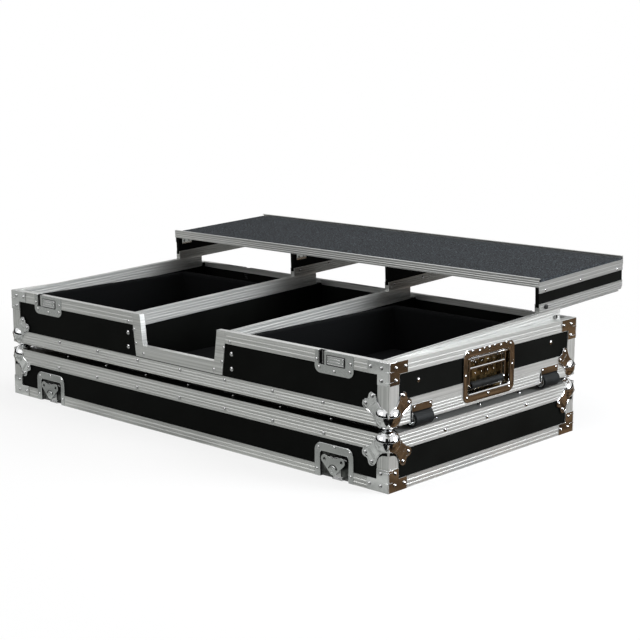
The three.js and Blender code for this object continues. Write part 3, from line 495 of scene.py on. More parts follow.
def table_finish(name, title, sockets, textures, base, rough=None, bump=None, middle=None):
    """A finish of the table, in its colour from the panel, with textures in the object's own
    coordinates."""
    colour = tuple(getattr(bpy.context.scene.case_colours, name, (0, 0, 0)))
    made, tree, shader, place = new_finish(title, **sockets)
    height = {}
    for key, (kind, size, settings) in textures.items():
        texture = add_node(tree, kind, {"Vector": place}, Scale=per_metre(size), **settings)
        height[key] = texture.outputs["Distance" if kind == CELLS else "Fac"]
    by, *ends = base[:3]
    dark, light = (hex_colour(e) if isinstance(e, int) else shade(colour, e) for e in ends)
    ramp = follow(tree, shader, height, (by, dark, light, *base[3:]), rough, bump)
    if middle:
        ramp.color_ramp.elements.new(middle).color = linear(colour)
    return made


def extruded_finish(title):
    """Mill finish aluminium drawn through a die: satin, with fine lines along its length and faint
    handling marks. The one with painted gap shade has painted shade on the lid's front and rear
    flange, which lies in the gap between the halves: its top is drawn near black. The one with
    painted side shade has painted shade on every face turned left or right, on the shelf's frame
    and runners."""
    colour = tuple(bpy.context.scene.case_colours.aluminium)
    made, tree, shader, place = new_finish(title, Metallic=0.72)
    # The real die lines are 0.5 mm apart, drawn every 2 or 3 mm so that they show. They follow the
    # level edges, and stand upright on the corner posts, which end at the rim
    post_width, rim = 29.0, RIM + 0.5
    level_lines, upright_lines = per_metre(2.4), per_metre(3.0)
    middle = (-CENTRE[0] / 1000, -CENTRE[1] / 1000, 0)
    centred = add_node(tree, "ShaderNodeMapping", {"Vector": place}, Location=middle)
    axes = add_node(tree, "ShaderNodeSeparateXYZ", {"Vector": centred.outputs["Vector"]}).outputs
    near = []
    for axis, half in (("X", HALF_WIDTH), ("Y", HALF_DEPTH)):
        size = add_node(tree, MATH, {0: axes[axis]}, operation="ABSOLUTE")
        limit = (half - post_width) / 1000
        over = add_node(tree, MATH, {0: size.outputs[0], 1: limit}, operation="GREATER_THAN")
        near.append(over.outputs[0])
    beside = add_node(tree, MATH, {0: near[0], 1: near[1]}, operation="MULTIPLY")
    below = add_node(tree, MATH, {0: axes["Z"], 1: rim / 1000}, operation="LESS_THAN")
    post = add_node(tree, MATH, {0: beside.outputs[0], 1: below.outputs[0]}, operation="MULTIPLY")
    runs = [add_node(tree, "ShaderNodeMapping", {"Vector": place}, Scale=scale).outputs["Vector"]
            for scale in ((2.0, 2.0, level_lines), (upright_lines, upright_lines, 2.0))]
    along = add_node(tree, "ShaderNodeMix", {"Factor": post.outputs[0], 4: runs[0], 5: runs[1]},
                     data_type="VECTOR")
    lines = add_node(tree, NOISE, {"Vector": along.outputs[1]}, Scale=1.0, Detail=4.0)
    marks = add_node(tree, NOISE, {"Vector": place}, Scale=per_metre(9), Detail=6.0)
    height = {"lines": lines.outputs["Fac"], "marks": marks.outputs["Fac"]}
    base = ("lines", shade(colour, 0.88), shade(colour, 1.04), 0.34, 0.66)
    ramp = follow(tree, shader, height, base, ("marks", 0.33, 0.41), ("lines", 0.05, 0.2))
    if "," in title:
        normal = add_node(tree, "ShaderNodeNewGeometry").outputs["Normal"]
        facing = add_node(tree, "ShaderNodeSeparateXYZ", {0: normal}).outputs
        # Painted shade: the top of the lid's front and rear flange, in the gap between the halves,
        # takes a near black colour
        if title.endswith("dirty"):
            top = (LID_TOP - 1) / 1000
            high = add_node(tree, MATH, {0: axes["Z"], 1: top}, operation="GREATER_THAN")
            there = add_node(tree, MATH, {0: high.outputs[0], 1: near[1]}, operation="MULTIPLY")
            both = {0: facing["Z"], 1: there.outputs[0]}
            toward = add_node(tree, MATH, both, operation="MULTIPLY")
            shade_colour = hex_colour(0x1B1D1A)
        else:
            # Painted shade: faces turned left or right, on the shelf's frame and runners, take a
            # darker colour
            toward = add_node(tree, MATH, {0: facing["X"]}, operation="ABSOLUTE")
            shade_colour = shade(colour, 0.78)
        squarely = 0.8
        share = add_node(tree, MATH, {0: toward.outputs[0], 1: squarely}, operation="GREATER_THAN")
        mixed = {"Factor": share.outputs[0], 6: ramp.outputs["Color"], 7: linear(shade_colour)}
        shade_mix = add_node(tree, "ShaderNodeMix", mixed, data_type="RGBA")
        tree.links.new(shade_mix.outputs[2], shader.inputs["Base Color"])
    return made


def finish(name):
    """The finish of that name, made once."""
    title = FINISHES[name]["title"] if name in FINISHES else f"extruded {name}"
    found = bpy.data.materials.get(title)
    if found:
        return found
    return table_finish(name, **FINISHES[name]) if name in FINISHES else extruded_finish(title)


# Corner hardware


def ball_patch():
    """The round part of a ball corner, drawn with a, b and c inwards from the corner: a sphere
    round a place inside the corner, from its outward pole to where it has gone inside the case."""
    sizes = bpy.context.scene.case_sizes
    radius, inset = sizes.ball_radius, sizes.ball_radius - sizes.ball_proud
    pole = -np.ones(3) / math.sqrt(3)
    side = np.array([1.0, -1.0, 0.0]) / math.sqrt(2)
    other = np.cross(pole, side)
    turn = circle(60)
    around = np.cos(turn)[:, None] * side + np.sin(turn)[:, None] * other

    def place(polar):
        polar = polar[:, None]
        return inset + radius * (np.cos(polar) * pole + np.sin(polar) * around)

    # Halving finds for every direction the polar angle where the sphere meets the case
    low, high = np.full(60, 0.4), np.full(60, math.pi * 0.75)
    for _ in range(30):
        middle = (low + high) / 2
        inside = place(middle).min(axis=1) > 0.6
        high, low = np.where(inside, middle, high), np.where(inside, low, middle)
    return np.stack([place(share * high) for share in np.linspace(0.03, 1, 26)])


# A leg's half width along its diagonal, and its length across, both as shares
LEG_SHARES = np.array([
    [0.0, 0.6], [0.22, 0.9], [0.4, 0.8], [0.54, 0.68], [0.67, 0.76], [0.77, 0.94], [0.86, 1.0],
    [1.0, 1.0]])
END_SHARES = np.array([
    [0.0, 0.945], [0.14, 0.95], [0.36, 0.985], [0.62, 1.0], [0.9, 0.95], [1.0, 0.86]])
LEG_REACH, LEG_HALF, LEG_START, LEG_SHEET = 76.0, 19.6, 0.16, 1.5
# The axes that p, q and w of each leg run along, and how far its rivets are from the two edges
LEG_ORDERS = ((0, 1, 2), (1, 2, 0), (2, 0, 1))
LEG_RIVETS = (39.9, 55.6)


def leg_plate():
    """One leg of a ball corner, as places (p, q, w) with p and q inwards from the two edges. Along
    its diagonal the half width follows a waist and two lobes, its middle swells near the ball, and
    a ridge crosses it. Its border is a raised hem, each a bell curve."""
    across = np.linspace(-1, 1, 33)
    end = np.interp(np.abs(across), *END_SHARES.T)
    share = LEG_START + np.linspace(0, 1, 45)[:, None] * (end - LEG_START)
    s, t = share * LEG_REACH, across * np.interp(share, *LEG_SHARES.T) * LEG_HALF
    swell = 0.9 * np.clip((46 - s) / 12, 0, 1) ** 2 * (1 - across**2)
    crease = 0.7 * np.exp(-(((s - 56) / 1.2) ** 2)) * (np.abs(across) < 0.62)
    hem = 0.8 * np.exp(-(((np.abs(across) - 0.93) / 0.06) ** 2)) * np.clip((s - 30) / 12, 0, 1)
    hem = np.maximum(hem, 0.8 * np.exp(-(((end * LEG_REACH - s - 2.2) / 1.3) ** 2)))
    w = LEG_SHEET + swell + crease + hem
    p, q = (s + t) / math.sqrt(2), (s - t) / math.sqrt(2)
    return slab_between(np.stack([p, q, w], -1), np.stack([p, q, 0 * w + 0.25], -1))


def corner_axes(x_side, y_side, z_side, seam):
    """Corner place and the three inward directions of a corner."""
    corner = at_centre([x_side * HALF_WIDTH, y_side * HALF_DEPTH, seam])
    return corner, np.diag([-x_side, -y_side, -z_side]).astype(float)


def ball_corner_parts(corner, inward):
    """Ball and three legs at one corner, flat where it meets its partner on the other half."""
    flat = -((BASE_LOW - LID_TOP) / 2 - 0.1)
    ball = ball_patch()
    ball[..., 2] = np.maximum(ball[..., 2], flat)
    parts = [moved(drum(ball), lambda p: corner + p @ inward)]
    leg, faces = leg_plate()
    for order in LEG_ORDERS:
        local = np.empty_like(leg)
        local[:, order] = leg * [1, 1, -1]
        local[:, 2] = np.maximum(local[:, 2], flat)
        parts.append((corner + local @ inward, faces))
    return parts


def leg_rivets(corner, inward):
    """Places and normals of the two rivets in each of the three legs."""
    places, normals = [], []
    for order in LEG_ORDERS:
        for spot in (LEG_RIVETS, LEG_RIVETS[::-1]):
            local = np.zeros(3)
            local[list(order)] = *spot, -LEG_SHEET
            places.append(corner + local @ inward)
            normals.append(-inward[order[2]])
    return np.array(places), np.array(normals)


BRACE_OUTLINE = (
    (-0.2, 0.4), (51, 0.4), (51.8, 1.2), (51.8, 23.2), (51, 24), (29, 24), (28, 25), (28, 43.2),
    (27.2, 44), (-0.2, 44))
BRACE_COVER, TAB_LEVELS = 1.3, (18.5, 38.0)
BRACE_RIVETS = ((45, 12), (18, 12), (18, 35.5))


def brace_parts(wall, end, rim, direction):
    """An L-shaped corner plate next to an end of a wall, with its long arm along the rim, and two
    pressed tabs that reach round the corner edge."""
    edge = end * HALF_LENGTH[wall]
    outline = np.array(BRACE_OUTLINE)
    if wall % 2:
        outline[[0, -1], 0] = 0.6
    loop = np.column_stack([edge - end * outline[:, 0], rim + direction * outline[:, 1]])
    tabs = [rounded_loop(6.5, 1.3, 1.2, (edge - end * 5.5, rim + direction * level), 4)
            for level in TAB_LEVELS]
    plates = [prism(loop, 0.3, BRACE_COVER)] + [prism(t, 0.5, BRACE_COVER + 0.45) for t in tabs]
    return wall_parts(plates, wall)


# Property groups


def size_property(name, description, default, low, high):
    """A length in millimetres that is set in the panel."""
    return bpy.props.FloatProperty(
        name=name, description=f"{description}, in millimetres", default=default, min=low, max=high)


class CaseSizes(bpy.types.PropertyGroup):
    """Sizes of the hardware that a user would change, in millimetres."""

    ball_radius: size_property("Ball radius", "Radius of the ball corners", 25.0, 15, 30)
    ball_proud: size_property("Ball proud", "How far a ball stands out of a wall",
                              round(BALL_EDGE - HALF_WIDTH, 2), 2, 15)
    rivet_radius: size_property("Rivet radius", "Radius of a rivet head", 4.0, 1, 8)
    rivet_height: size_property("Rivet height", "Height of a rivet head", 2.7, 0.3, 4)
    bolt_radius: size_property("Bolt radius", "Radius of a panel bolt's head", 4.8, 2, 8)
    carpet_height: size_property("Carpet height", "Thickness of the shelf's carpet", 4.2, 2, 6)


def colour_property(name, description, value):
    """A colour that is picked in the panel, with its default as a hex colour."""
    return bpy.props.FloatVectorProperty(
        name=name, description=description, subtype="COLOR_GAMMA", size=3, min=0, max=1,
        default=hex_colour(value))


class CaseColours(bpy.types.PropertyGroup):
    """Colours of the finishes, as sRGB."""

    laminate: colour_property("Laminate", "Black face of the plywood", 0x0B0C0B)
    aluminium: colour_property("Aluminium", "Extruded edges, rims and rails", 0xC9CAC8)
    chrome: colour_property("Chrome", "Ball corners, handles and braces", 0xE2E3E4)
    zinc: colour_property("Zinc", "Latches and keepers", 0xC6C8C8)
    # The latch pans' colour is dark as painted shade of their recess
    pan: colour_property("Latch pans", "Dulled zinc inside the latch pans", 0x4A4B4A)
    rivet: colour_property("Rivets", "Rivets and bolts", 0xCDCDCE)
    rubber: colour_property("Rubber", "Grips and wheels", 0x0E1011)
    nylon: colour_property("Nylon", "Stops and knobs", 0x141516)
    felt: colour_property("Felt", "Lining and foam", 0x0A0B0C)
    carpet: colour_property("Carpet", "Carpet on the shelf", 0x1A1C1E)


# Walls, edges and corners


class CASE_OT_walls(bpy.types.Operator):
    """Finishes the plywood walls, floor, top and partitions."""

    bl_idname = "case.walls"
    bl_label = "Walls"

    def execute(self, context):
        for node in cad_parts:
            if node.endswith(("_wall", "_panel")) or node.startswith("mixer_partition"):
                dress(node, "laminate")
        return {"FINISHED"}


# Profiles (radius, height) of the stops on the outer rails and of the knobs on the shelf
STOP = ((4.9, 5.5), (4.9, 9.0), (4.2, 10.0), (2.2, 10.2), (0.4, 10.2))
KNOB = ((5.0, 5.5), (5.0, 8.6), (4.4, 9.6), (2.6, 10.0), (0.3, 10.0))
# A painted shadow: a dark strip along the lower edge of the cut-out's trim, where the trim meets
# the band under it and shades it
TRIM_SHADOW = rectangle(-133.2, 133.2, 153.1, 154.7)


class CASE_OT_edges(bpy.types.Operator):
    """Finishes the aluminium edge frames, the cut-out's trim and the rails."""

    bl_idname = "case.edges"
    bl_label = "Edges and rails"

    def execute(self, context):
        # The lid's edge frame has painted shade on its flange in the gap, and the shelf's edge
        # frame on its faces turned left or right
        for node, look in (("base_edge_frame", "aluminium"), ("cutout_trim", "aluminium"),
                           ("lid_edge_frame", "aluminium, dirty"),
                           ("shelf_edge_frame", "aluminium, dulled")):
            dress(node, look)
        for place in ("outer_left", "inner_left", "inner_right", "outer_right"):
            dress(f"glide_rail_{place}", "aluminium")
        # A dark nylon strip as painted shadow under the trim's lower edge
        shadow_strip = wall_parts([prism(TRIM_SHADOW, -0.1, 0.15)], 0)
        make_piece("cutout_joint", shadow_strip, "nylon", "base", "rubber")
        for side in SIDES:
            start = (side * RAIL_X, RAIL_LENGTH - 19, -15.7)
            stop = moved(lying(turned(STOP, 24), start, side), on_rails)
            make_piece(f"rail_stop_{HAND[side]}", [stop], "nylon", "base", "rubber")
        return {"FINISHED"}


class CASE_OT_braces(bpy.types.Operator):
    """Makes the chrome plates that hold the corners of both open rims."""

    bl_idname = "case.braces"
    bl_label = "Corner braces"

    def execute(self, context):
        for body, direction, rim, _ in HALVES:
            for wall, wall_name in enumerate(WALLS):
                for end, letter in zip(SIDES, "ab"):
                    parts = brace_parts(wall, end, rim, direction)
                    make_piece(f"{body}_corner_brace_{wall_name}_{letter}", parts, "chrome", body,
                               "chrome", bevel=0.3)
        return {"FINISHED"}


class CASE_OT_ball_corners(bpy.types.Operator):
    """Makes the eight ball corners with their two-lobed legs."""

    bl_idname = "case.ball_corners"
    bl_label = "Ball corners"

    def execute(self, context):
        for body, z_side, _, seam in HALVES:
            for x_side, y_side in CORNERS:
                place = f"{END[y_side]}_{HAND[x_side]}"
                parts = ball_corner_parts(*corner_axes(x_side, y_side, z_side, seam))
                make_piece(f"{body}_ball_{place}", parts, "chrome", body, "chrome",
                           f"{body}_ball_corner_{place}", bevel=0.35, crease=50)
        return {"FINISHED"}


# Rows of rivets, for the long walls and then the side walls: places and height on the edge faces,
# of which the base's sides have none, and places on the flanges that face the other half
LONG_ROW = np.arange(-3, 4) * 135.0
FACE_ROWS = {
    "lid": ((LONG_ROW * 1.009 + 3.5, 86.5), ((-136.0, -3.0, 130.0), 89.5)),
    "base": ((LONG_ROW + 6, 146.0), None)}
FLANGE_ROWS = (LONG_ROW + 8, (-138.0, 1.0, 134.0))
FLANGE_INSET = 22.0
# Bolts in the base's black panels, by wall, sunk below the aluminium
PANEL_BOLTS = (
    (0, ((-160, 202), (160, 202), (-160, 171.3), (160, 171.3))),
    (1, ((-217, 201.5), (214, 206))), (3, ((-214, 206), (217, 201.5))),
    (2, ((-300, 190), (-100, 190), (100, 190), (300, 190))))
PANEL_DEPTH = -1.6
TRIM_RIVETS = (
    (138.6, 211.7, -0.2), (133.2, 181.9, -0.2), (109.0, 162.4, -0.2), (157.0, 226.7, 0.0))


def edge_rivets(body, wall, z_side, seam, head):
    """Rivets of one wall: a row on the edge face, and one on the flange that faces the seam."""
    parts = []
    row = FACE_ROWS[body][wall % 2]
    if row:
        parts.append(heads([(u, row[1], 0.0) for u in row[0]], wall, *head))
    flange = on_wall([(u, seam, -FLANGE_INSET) for u in FLANGE_ROWS[wall % 2]], wall)
    return parts + [domes(flange, (0, 0, z_side), *head)]


class CASE_OT_rivets(bpy.types.Operator):
    """Makes the rivets of the edges, corners and braces, and the panel bolts."""

    bl_idname = "case.rivets"
    bl_label = "Rivets and bolts"

    def execute(self, context):
        sizes = context.scene.case_sizes
        head = sizes.rivet_radius, sizes.rivet_height
        for body, z_side, rim, seam in HALVES:
            parts = []
            for wall, half in enumerate(HALF_LENGTH):
                for end in SIDES:
                    spots = [(end * (half - a), rim + z_side * b, BRACE_COVER - 0.05)
                             for a, b in BRACE_RIVETS]
                    parts.append(heads(spots, wall, *head))
            for x_side, y_side in CORNERS:
                places, normals = leg_rivets(*corner_axes(x_side, y_side, z_side, seam))
                parts.append(domes(places, normals, *head))
            for wall in range(4):
                parts += edge_rivets(body, wall, z_side, seam, head)
            make_piece(f"{body}_rivets", parts, "rivet", body, "chrome")
        bolts = [heads([(*spot, PANEL_DEPTH) for spot in spots], wall, sizes.bolt_radius, 2.6, 14)
                 for wall, spots in PANEL_BOLTS]
        make_piece("base_panel_bolts", bolts, "rivet", "base", "chrome")
        trim = [(s * u, v, w) for s in SIDES for u, v, w in TRIM_RIVETS]
        make_piece("cutout_rivets", [heads(trim, 0, sizes.rivet_radius, 1.6)], "rivet", "base",
                   "chrome")
        return {"FINISHED"}


# Latches, drawn from the middle of the dish at the rim, and keepers, drawn down from the rim

# Arches (half width, height, corner radius, w) of the dish: the frame from its outer edge over its
# face to the pan, and the pan down the wall and across its floor, then back one sheet further in
DISH_FRAME = (
    (49.7, 67.4, 17.0, -1.4), (49.7, 67.4, 17.0, -0.1), (49.2, 66.9, 16.6, 0.5),
    (48.2, 65.9, 15.8, 0.75), (47.0, 64.7, 14.8, 0.5), (39.3, 53.2, 7.9, 0.5),
    (37.6, 51.5, 6.4, 0.2), (36.6, 50.5, 5.5, -0.7), (36.4, 50.3, 5.3, -1.6),
    (37.5, 51.4, 6.3, -1.6))
DISH_PAN = (
    (36.4, 50.3, 5.3, -1.5), (36.2, 50.1, 5.1, -6.4), (35.6, 49.5, 4.6, -7.6),
    (34.2, 48.1, 3.6, -8.2), (18.0, 32.0, 1.0, -8.2), (0.003, 14.0, 0.002, -8.2))
DISH_PAN += tuple((a, b, c, -9.3) for a, b, c, _ in DISH_PAN[:0:-1])
DISH_PAN += ((37.5, 51.4, 6.3, -8.4), (37.5, 51.4, 6.3, -1.5))
DISH_BEAD = ((-24, 38.0), (-15, 40.6), (-7, 38.6), (2, 41.4), (11, 38.8), (19, 41.0), (26, 39.0))
DISH_RIVETS = ((-39.6, 56.1), (0.8, 61.8), (40.3, 58.6), (42.9, 13.1), (-43.6, 12.6))
KEEPER_RIVETS = ((-44.6, -19.1), (-38.4, -33.5), (0.2, -37.4), (39.5, -32.7), (41.5, -17.1))
PAD_RIVETS = ((-14.0, -19.5), (23.0, -19.5), (23.0, -11.5))
# Heights of the rivets and of the faces that they sit on, and the middle of the strike pad
PLATE_RIVET, PAD_RIVET, PLATE_TOP, PAD_TOP = 1.6, 1.0, 0.3, 1.3
PAD_MIDDLE = (4.7, -16.2)
# The cam with its slotted head, and its shaft, as profiles (radius, w)
CAM = ((9.4, -5.9), (9.4, 2.9), (9.0, 3.6), (8.0, 4.0), (4.6, 4.0), (4.3, 3.7), (3.9, 3.7),
       (3.6, 4.0), (2.2, 4.0), (0.3, 4.0))
SHAFT = ((4.0, -7.9), (4.0, -5.8), (0.3, -5.8))


def dish_part(arches):
    """Part of a latch dish: arches joined in turn and closed to a ring, flat at the rim."""
    rows = lofted([(arch_loop(half, top, radius), w) for half, top, radius, w in arches])
    corners, faces = grid(rows, wrap_rows=True)
    foot = np.arange(len(rows)) * rows.shape[1]
    return corners, faces + [foot[::-1].tolist(), (foot + rows.shape[1] - 1).tolist()]


def wing_parts(low=1.0, high=3.1):
    """A latch wing round its cam axis: two mirrored halves, each a flat ring between its half of
    the outline and its finger hole. A place of the hole lies on the line from the hole's centre to
    the outline's place. The halves are open where they meet."""
    centre, radius, hole = np.array([21.5, 19.5]), 8.8, 3.3
    outer = np.concatenate([
        arc((0, 0), 9.5, -90, -35, 8), arc(centre, radius, -52, 112, 20),
        [[9.0, 25.2], [4.0, 24.4], [0.0, 24.2], [0.0, 12.0], [0.0, 0.0], [0.0, -5.0]]])
    away = outer - centre
    inner = centre + hole * away / np.linalg.norm(away, axis=1, keepdims=True)
    rings = lofted(((outer, high), (inner, high), (outer, low), (inner, low))).reshape(-1, 3)
    here = np.arange(len(outer))
    onward = np.roll(here, -1)
    # The rings that faces join: top, bottom, outside and bore
    joined = np.array(((0, 1), (2, 3), (0, 2), (1, 3))) * len(outer)
    quads = np.concatenate([
        np.stack([here + a, onward + a, onward + b, here + b], -1) for a, b in joined])
    quads = quads[np.abs(rings[quads, 0]).max(axis=1) > 1e-9].tolist()
    return [(rings * [side, 1, 1], quads) for side in SIDES]


def keeper_gaps():
    """Painted shade of a keeper: a dark strip round the strike pad for the shadow at its edge, and
    a dark sheet at the back of the slot for the shade inside it.
    """
    strip = rounded_loop(24.0, 10.2, 2.0, (4.7, -16.6), 5)
    return [prism(strip, 0.2, 0.62), prism(rectangle(-39.4, -24.3, -26.5, 0.2), -8.1, -7.6)]


def keeper_beads():
    """The bright bars of a keeper: the pressed edge of the pad as a closed bead, two short beads
    across it, and the rolled lips of the slot beside it."""
    edge = at_height(rounded_loop(21.3, 7.5, 2.0, PAD_MIDDLE, 6), 1.2)
    bars = [along_path(edge, 0.85, closed=True)]
    for v in (-13.2, -18.6):
        bead = [[-9.0, v, PAD_TOP], [3.0, v + 0.9, PAD_TOP + 0.2], [17.0, v, PAD_TOP]]
        bars.append(along_path(bead, 0.7, 8))
    for u, top, w, radius in ((-38.6, -0.6, -0.9, 1.1), (-25.0, -0.6, -0.9, 1.1),
                              (-32.4, -1.0, -5.2, 1.6)):
        bars.append(along_path([[u, -25.6, w], [u, top, w]], radius))
    return bars


def make_latch(wall, u, place):
    """One latch with its dish, wing and hook, and the keeper above it on the other half."""
    radius = bpy.context.scene.case_sizes.rivet_radius

    def put(name, parts, look, body, slot, at, **more):
        make_piece(f"{name}_{place}", wall_parts(parts, wall, at), look, body, slot, **more)

    dish, cam, keeper = (u, 0.0), (u, CAM_HEIGHT), (u, RIM)
    # The pan takes the darker zinc, painted shade for the shadow in its recess
    for name, arches, look in (("dish_frame", DISH_FRAME, "zinc"), ("dish_pan", DISH_PAN, "pan")):
        put(name, [dish_part(arches)], look, "lid", "zinc", dish,
            replaces=f"latch_dish_{place}", crease=40)
    put("dish_bead", [along_path(at_height(DISH_BEAD, -7.9), 0.9)], "rivet", "lid", "zinc", dish)
    rivets = heads(at_height(DISH_RIVETS, PLATE_TOP), wall, radius, PLATE_RIVET, at=dish)
    make_piece(f"dish_rivets_{place}", [rivets], "rivet", "lid", "chrome")

    slots = [prism(rounded_loop(a, b, 0.5, steps=4), 3.9, 4.25)
             for a, b in ((2.6, 0.55), (0.55, 2.6))]
    put("wing", [*wing_parts(), turned(CAM, 36), turned(SHAFT, 20), *slots], "zinc",
        f"latch_wing_{place}", "zinc", cam, replaces=f"latch_wing_{place}", bevel=0.3, crease=45)
    # A painted shadow: a dark arc over the wing round the top of its cam, standing for the shade in
    # the gap round the cam
    shadow_arc = at_height(arc((0, 0), 11.0, 15, 165, 24), 3.2)
    put("wing_spring", [along_path(shadow_arc, 0.9)], "nylon", f"latch_wing_{place}", "zinc", cam)
    dress(f"latch_hook_{place}", "rivet", 0.25)

    dress(f"keeper_{place}", "zinc", 0.3)
    pad = prism(rounded_loop(21.0, 7.2, 1.2, PAD_MIDDLE, 5), 0.5, PAD_TOP + 0.05)
    # Dark nylon strips as painted shade round the strike pad and at the back of the slot
    put("keeper_gaps", keeper_gaps(), "nylon", "base", "rubber", keeper)
    put("keeper_pad", [pad], "zinc", "base", "zinc", keeper)
    put("keeper_beads", keeper_beads(), "rivet", "base", "zinc", keeper)
    rivets = [heads(at_height(KEEPER_RIVETS, PLATE_TOP), wall, radius, PLATE_RIVET, at=keeper),
              heads(at_height(PAD_RIVETS, PAD_TOP), wall, 2.0, PAD_RIVET, at=keeper)]
    make_piece(f"keeper_rivets_{place}", rivets, "rivet", "base", "chrome")


class CASE_OT_latches(bpy.types.Operator):
    """Makes the four latches with their dishes, wings and hooks, and finishes the keepers."""

    bl_idname = "case.latches"
    bl_label = "Latches and keepers"

    def execute(self, context):
        for wall in (0, 2):
            for side in SIDES:
                # Seen from behind, the case's left and right change places
                hand = HAND[side if wall == 0 else -side]
                make_latch(wall, side * LATCH_X, f"{WALLS[wall]}_{hand}")
        return {"FINISHED"}


# Handles

# Outlines of the pan, from its back over the frame and down to its floor: half width and half
# height, what they are drawn in by, corner radius and w
PAN_MIDDLE = 182.3
PAN_OUTER, PAN_INNER = (83.0, 52.8), (68.0, 35.8)
PAN_ROWS = (
    (PAN_INNER, 30.0, 20.0, 2.0, -19.4), (PAN_INNER, -1.2, -1.2, 6.0, -19.4),
    (PAN_INNER, -1.4, -1.4, 6.0, 0.3), (PAN_OUTER, 0.0, 0.0, 16.0, 0.3),
    (PAN_OUTER, 0.0, 0.0, 16.0, 1.0), (PAN_OUTER, 0.5, 0.5, 15.5, 1.6),
    (PAN_OUTER, 1.4, 1.4, 14.8, 1.8), (PAN_INNER, -3.2, -3.2, 9.0, 1.8),
    (PAN_INNER, -1.4, -1.4, 7.4, 1.3), (PAN_INNER, -0.3, -0.3, 6.4, 0.2),
    (PAN_INNER, 0.0, 0.0, 6.0, -1.2), (PAN_INNER, 0.4, 0.4, 6.0, -14.5),
    (PAN_INNER, 1.2, 1.2, 5.4, -16.8), (PAN_INNER, 3.2, 3.2, 4.0, -18.0),
    (PAN_INNER, 30.0, 20.0, 2.0, -18.0))
PAN_RIVETS = (
    (-33, 228), (-18.7, 231), (15.1, 231.3), (36.3, 228.7), (54.2, 231), (-56.8, 230.8),
    (67.5, 227), (-70, 228), (66, 139), (-71.7, 139.5), (75.5, 184), (-76.5, 184), (-2.9, 137.5))
BIG_PAN_RIVET = (-1.6, 230.0)
# Half the width of the bail, of its axis and of its cross bar, the radius of its bends, the share
# of its reach at which the bar crosses it, its wires, and where its springs lie on the axis
BAIL_HALF, AXIS_HALF, CROSS_HALF, BAIL_BEND, CROSS_SHARE = 58.0, 67.6, 57.5, 7, 0.36
BAIL_WIRE, CROSS_WIRE = 3.0, 2.9
BAIL_SPRINGS = ((-54.0, -30.0), (30.0, 54.0))
GRIP_HALF = 52


def handle_pan():
    """A handle's pressed pan: round-cornered rectangles joined in turn, flat at back and floor."""
    rows = [(rounded_loop(half[0] - du, half[1] - dv, radius, (0.0, PAN_MIDDLE)), w)
            for half, du, dv, radius, w in PAN_ROWS]
    return drum(lofted(rows))


def pan_backing():
    """Thin plates before the floor and both ends of the pan, with a painted reflection: their
    brown stands for the warm floor mirrored in the chrome.
    """
    back = prism(rounded_loop(64.0, 32.2, 3.0, (0.0, PAN_MIDDLE), 5), -18.1, -17.7)
    return [back, *(prism(rectangle(u, u + 0.35, 151.0, 213.0), -17.4, -1.6)
                    for u in (-67.9, 67.55))]


def bail_parts():
    """A bail with two round bends, its axis, a cross bar, and a spring at each end of the axis."""
    reach = np.linalg.norm(GRIP - BAIL_AXIS)
    down = (GRIP - BAIL_AXIS) / reach

    def hung(flat):
        flat = np.asarray(flat, float)
        return np.column_stack([flat[:, 0], BAIL_AXIS + flat[:, 1:] * down])

    bend = arc((BAIL_HALF - BAIL_BEND, reach - BAIL_BEND), BAIL_BEND, 0, 90, 7)
    right = np.concatenate([[[BAIL_HALF, 0.0], [BAIL_HALF, reach / 2]], bend])
    bail = np.concatenate([right, [[0.0, reach]], right[::-1] * [-1, 1]])
    cross = CROSS_SHARE * reach
    bars = [along_path(hung(bail), BAIL_WIRE, 16, (0, down[1], -down[0])),
            along_path(hung([[-AXIS_HALF, 0], [AXIS_HALF, 0]]), BAIL_WIRE, 16),
            along_path(hung([[-CROSS_HALF, cross], [CROSS_HALF, cross]]), CROSS_WIRE, 16)]
    for low, high in BAIL_SPRINGS:
        bars.append(lying(spring(4.0, 0.8, low, high, 9), [0.0, *BAIL_AXIS]))
    return bars


def spring(radius, wire, low, high, turns, steps=12):
    """A helix round its axis: a circle that climbs evenly, as places (a, b, height)."""
    count = turns * steps + 1
    round_and_round = arc((0, 0), radius, 0, 360 * turns, count)
    path = np.column_stack([round_and_round, np.linspace(low, high, count)])
    return along_path(path, wire, 8)


def grip_part():
    """A rubber sleeve: its radius follows a shallow cosine between round ends, and it is hollow
    at both ends where the bail goes in."""
    h = np.linspace(-GRIP_HALF, GRIP_HALF, 53)
    finger = 7.3 + 0.25 * np.cos(h / GRIP_HALF * math.pi * 4)
    end = np.clip((GRIP_HALF - np.abs(h)) / 3, 0, 1)
    sleeve = finger - 2.2 * (1 - np.sqrt(1 - (1 - end) ** 2))
    mouth = np.array([[3.2, 47.0], [4.7, 47.2], [4.8, 51.7], [5.0, 51.95]])
    profile = np.concatenate([mouth * [1, -1], np.column_stack([sleeve, h]), mouth[::-1]])
    return lying(turned(profile, 36), [0.0, *GRIP])


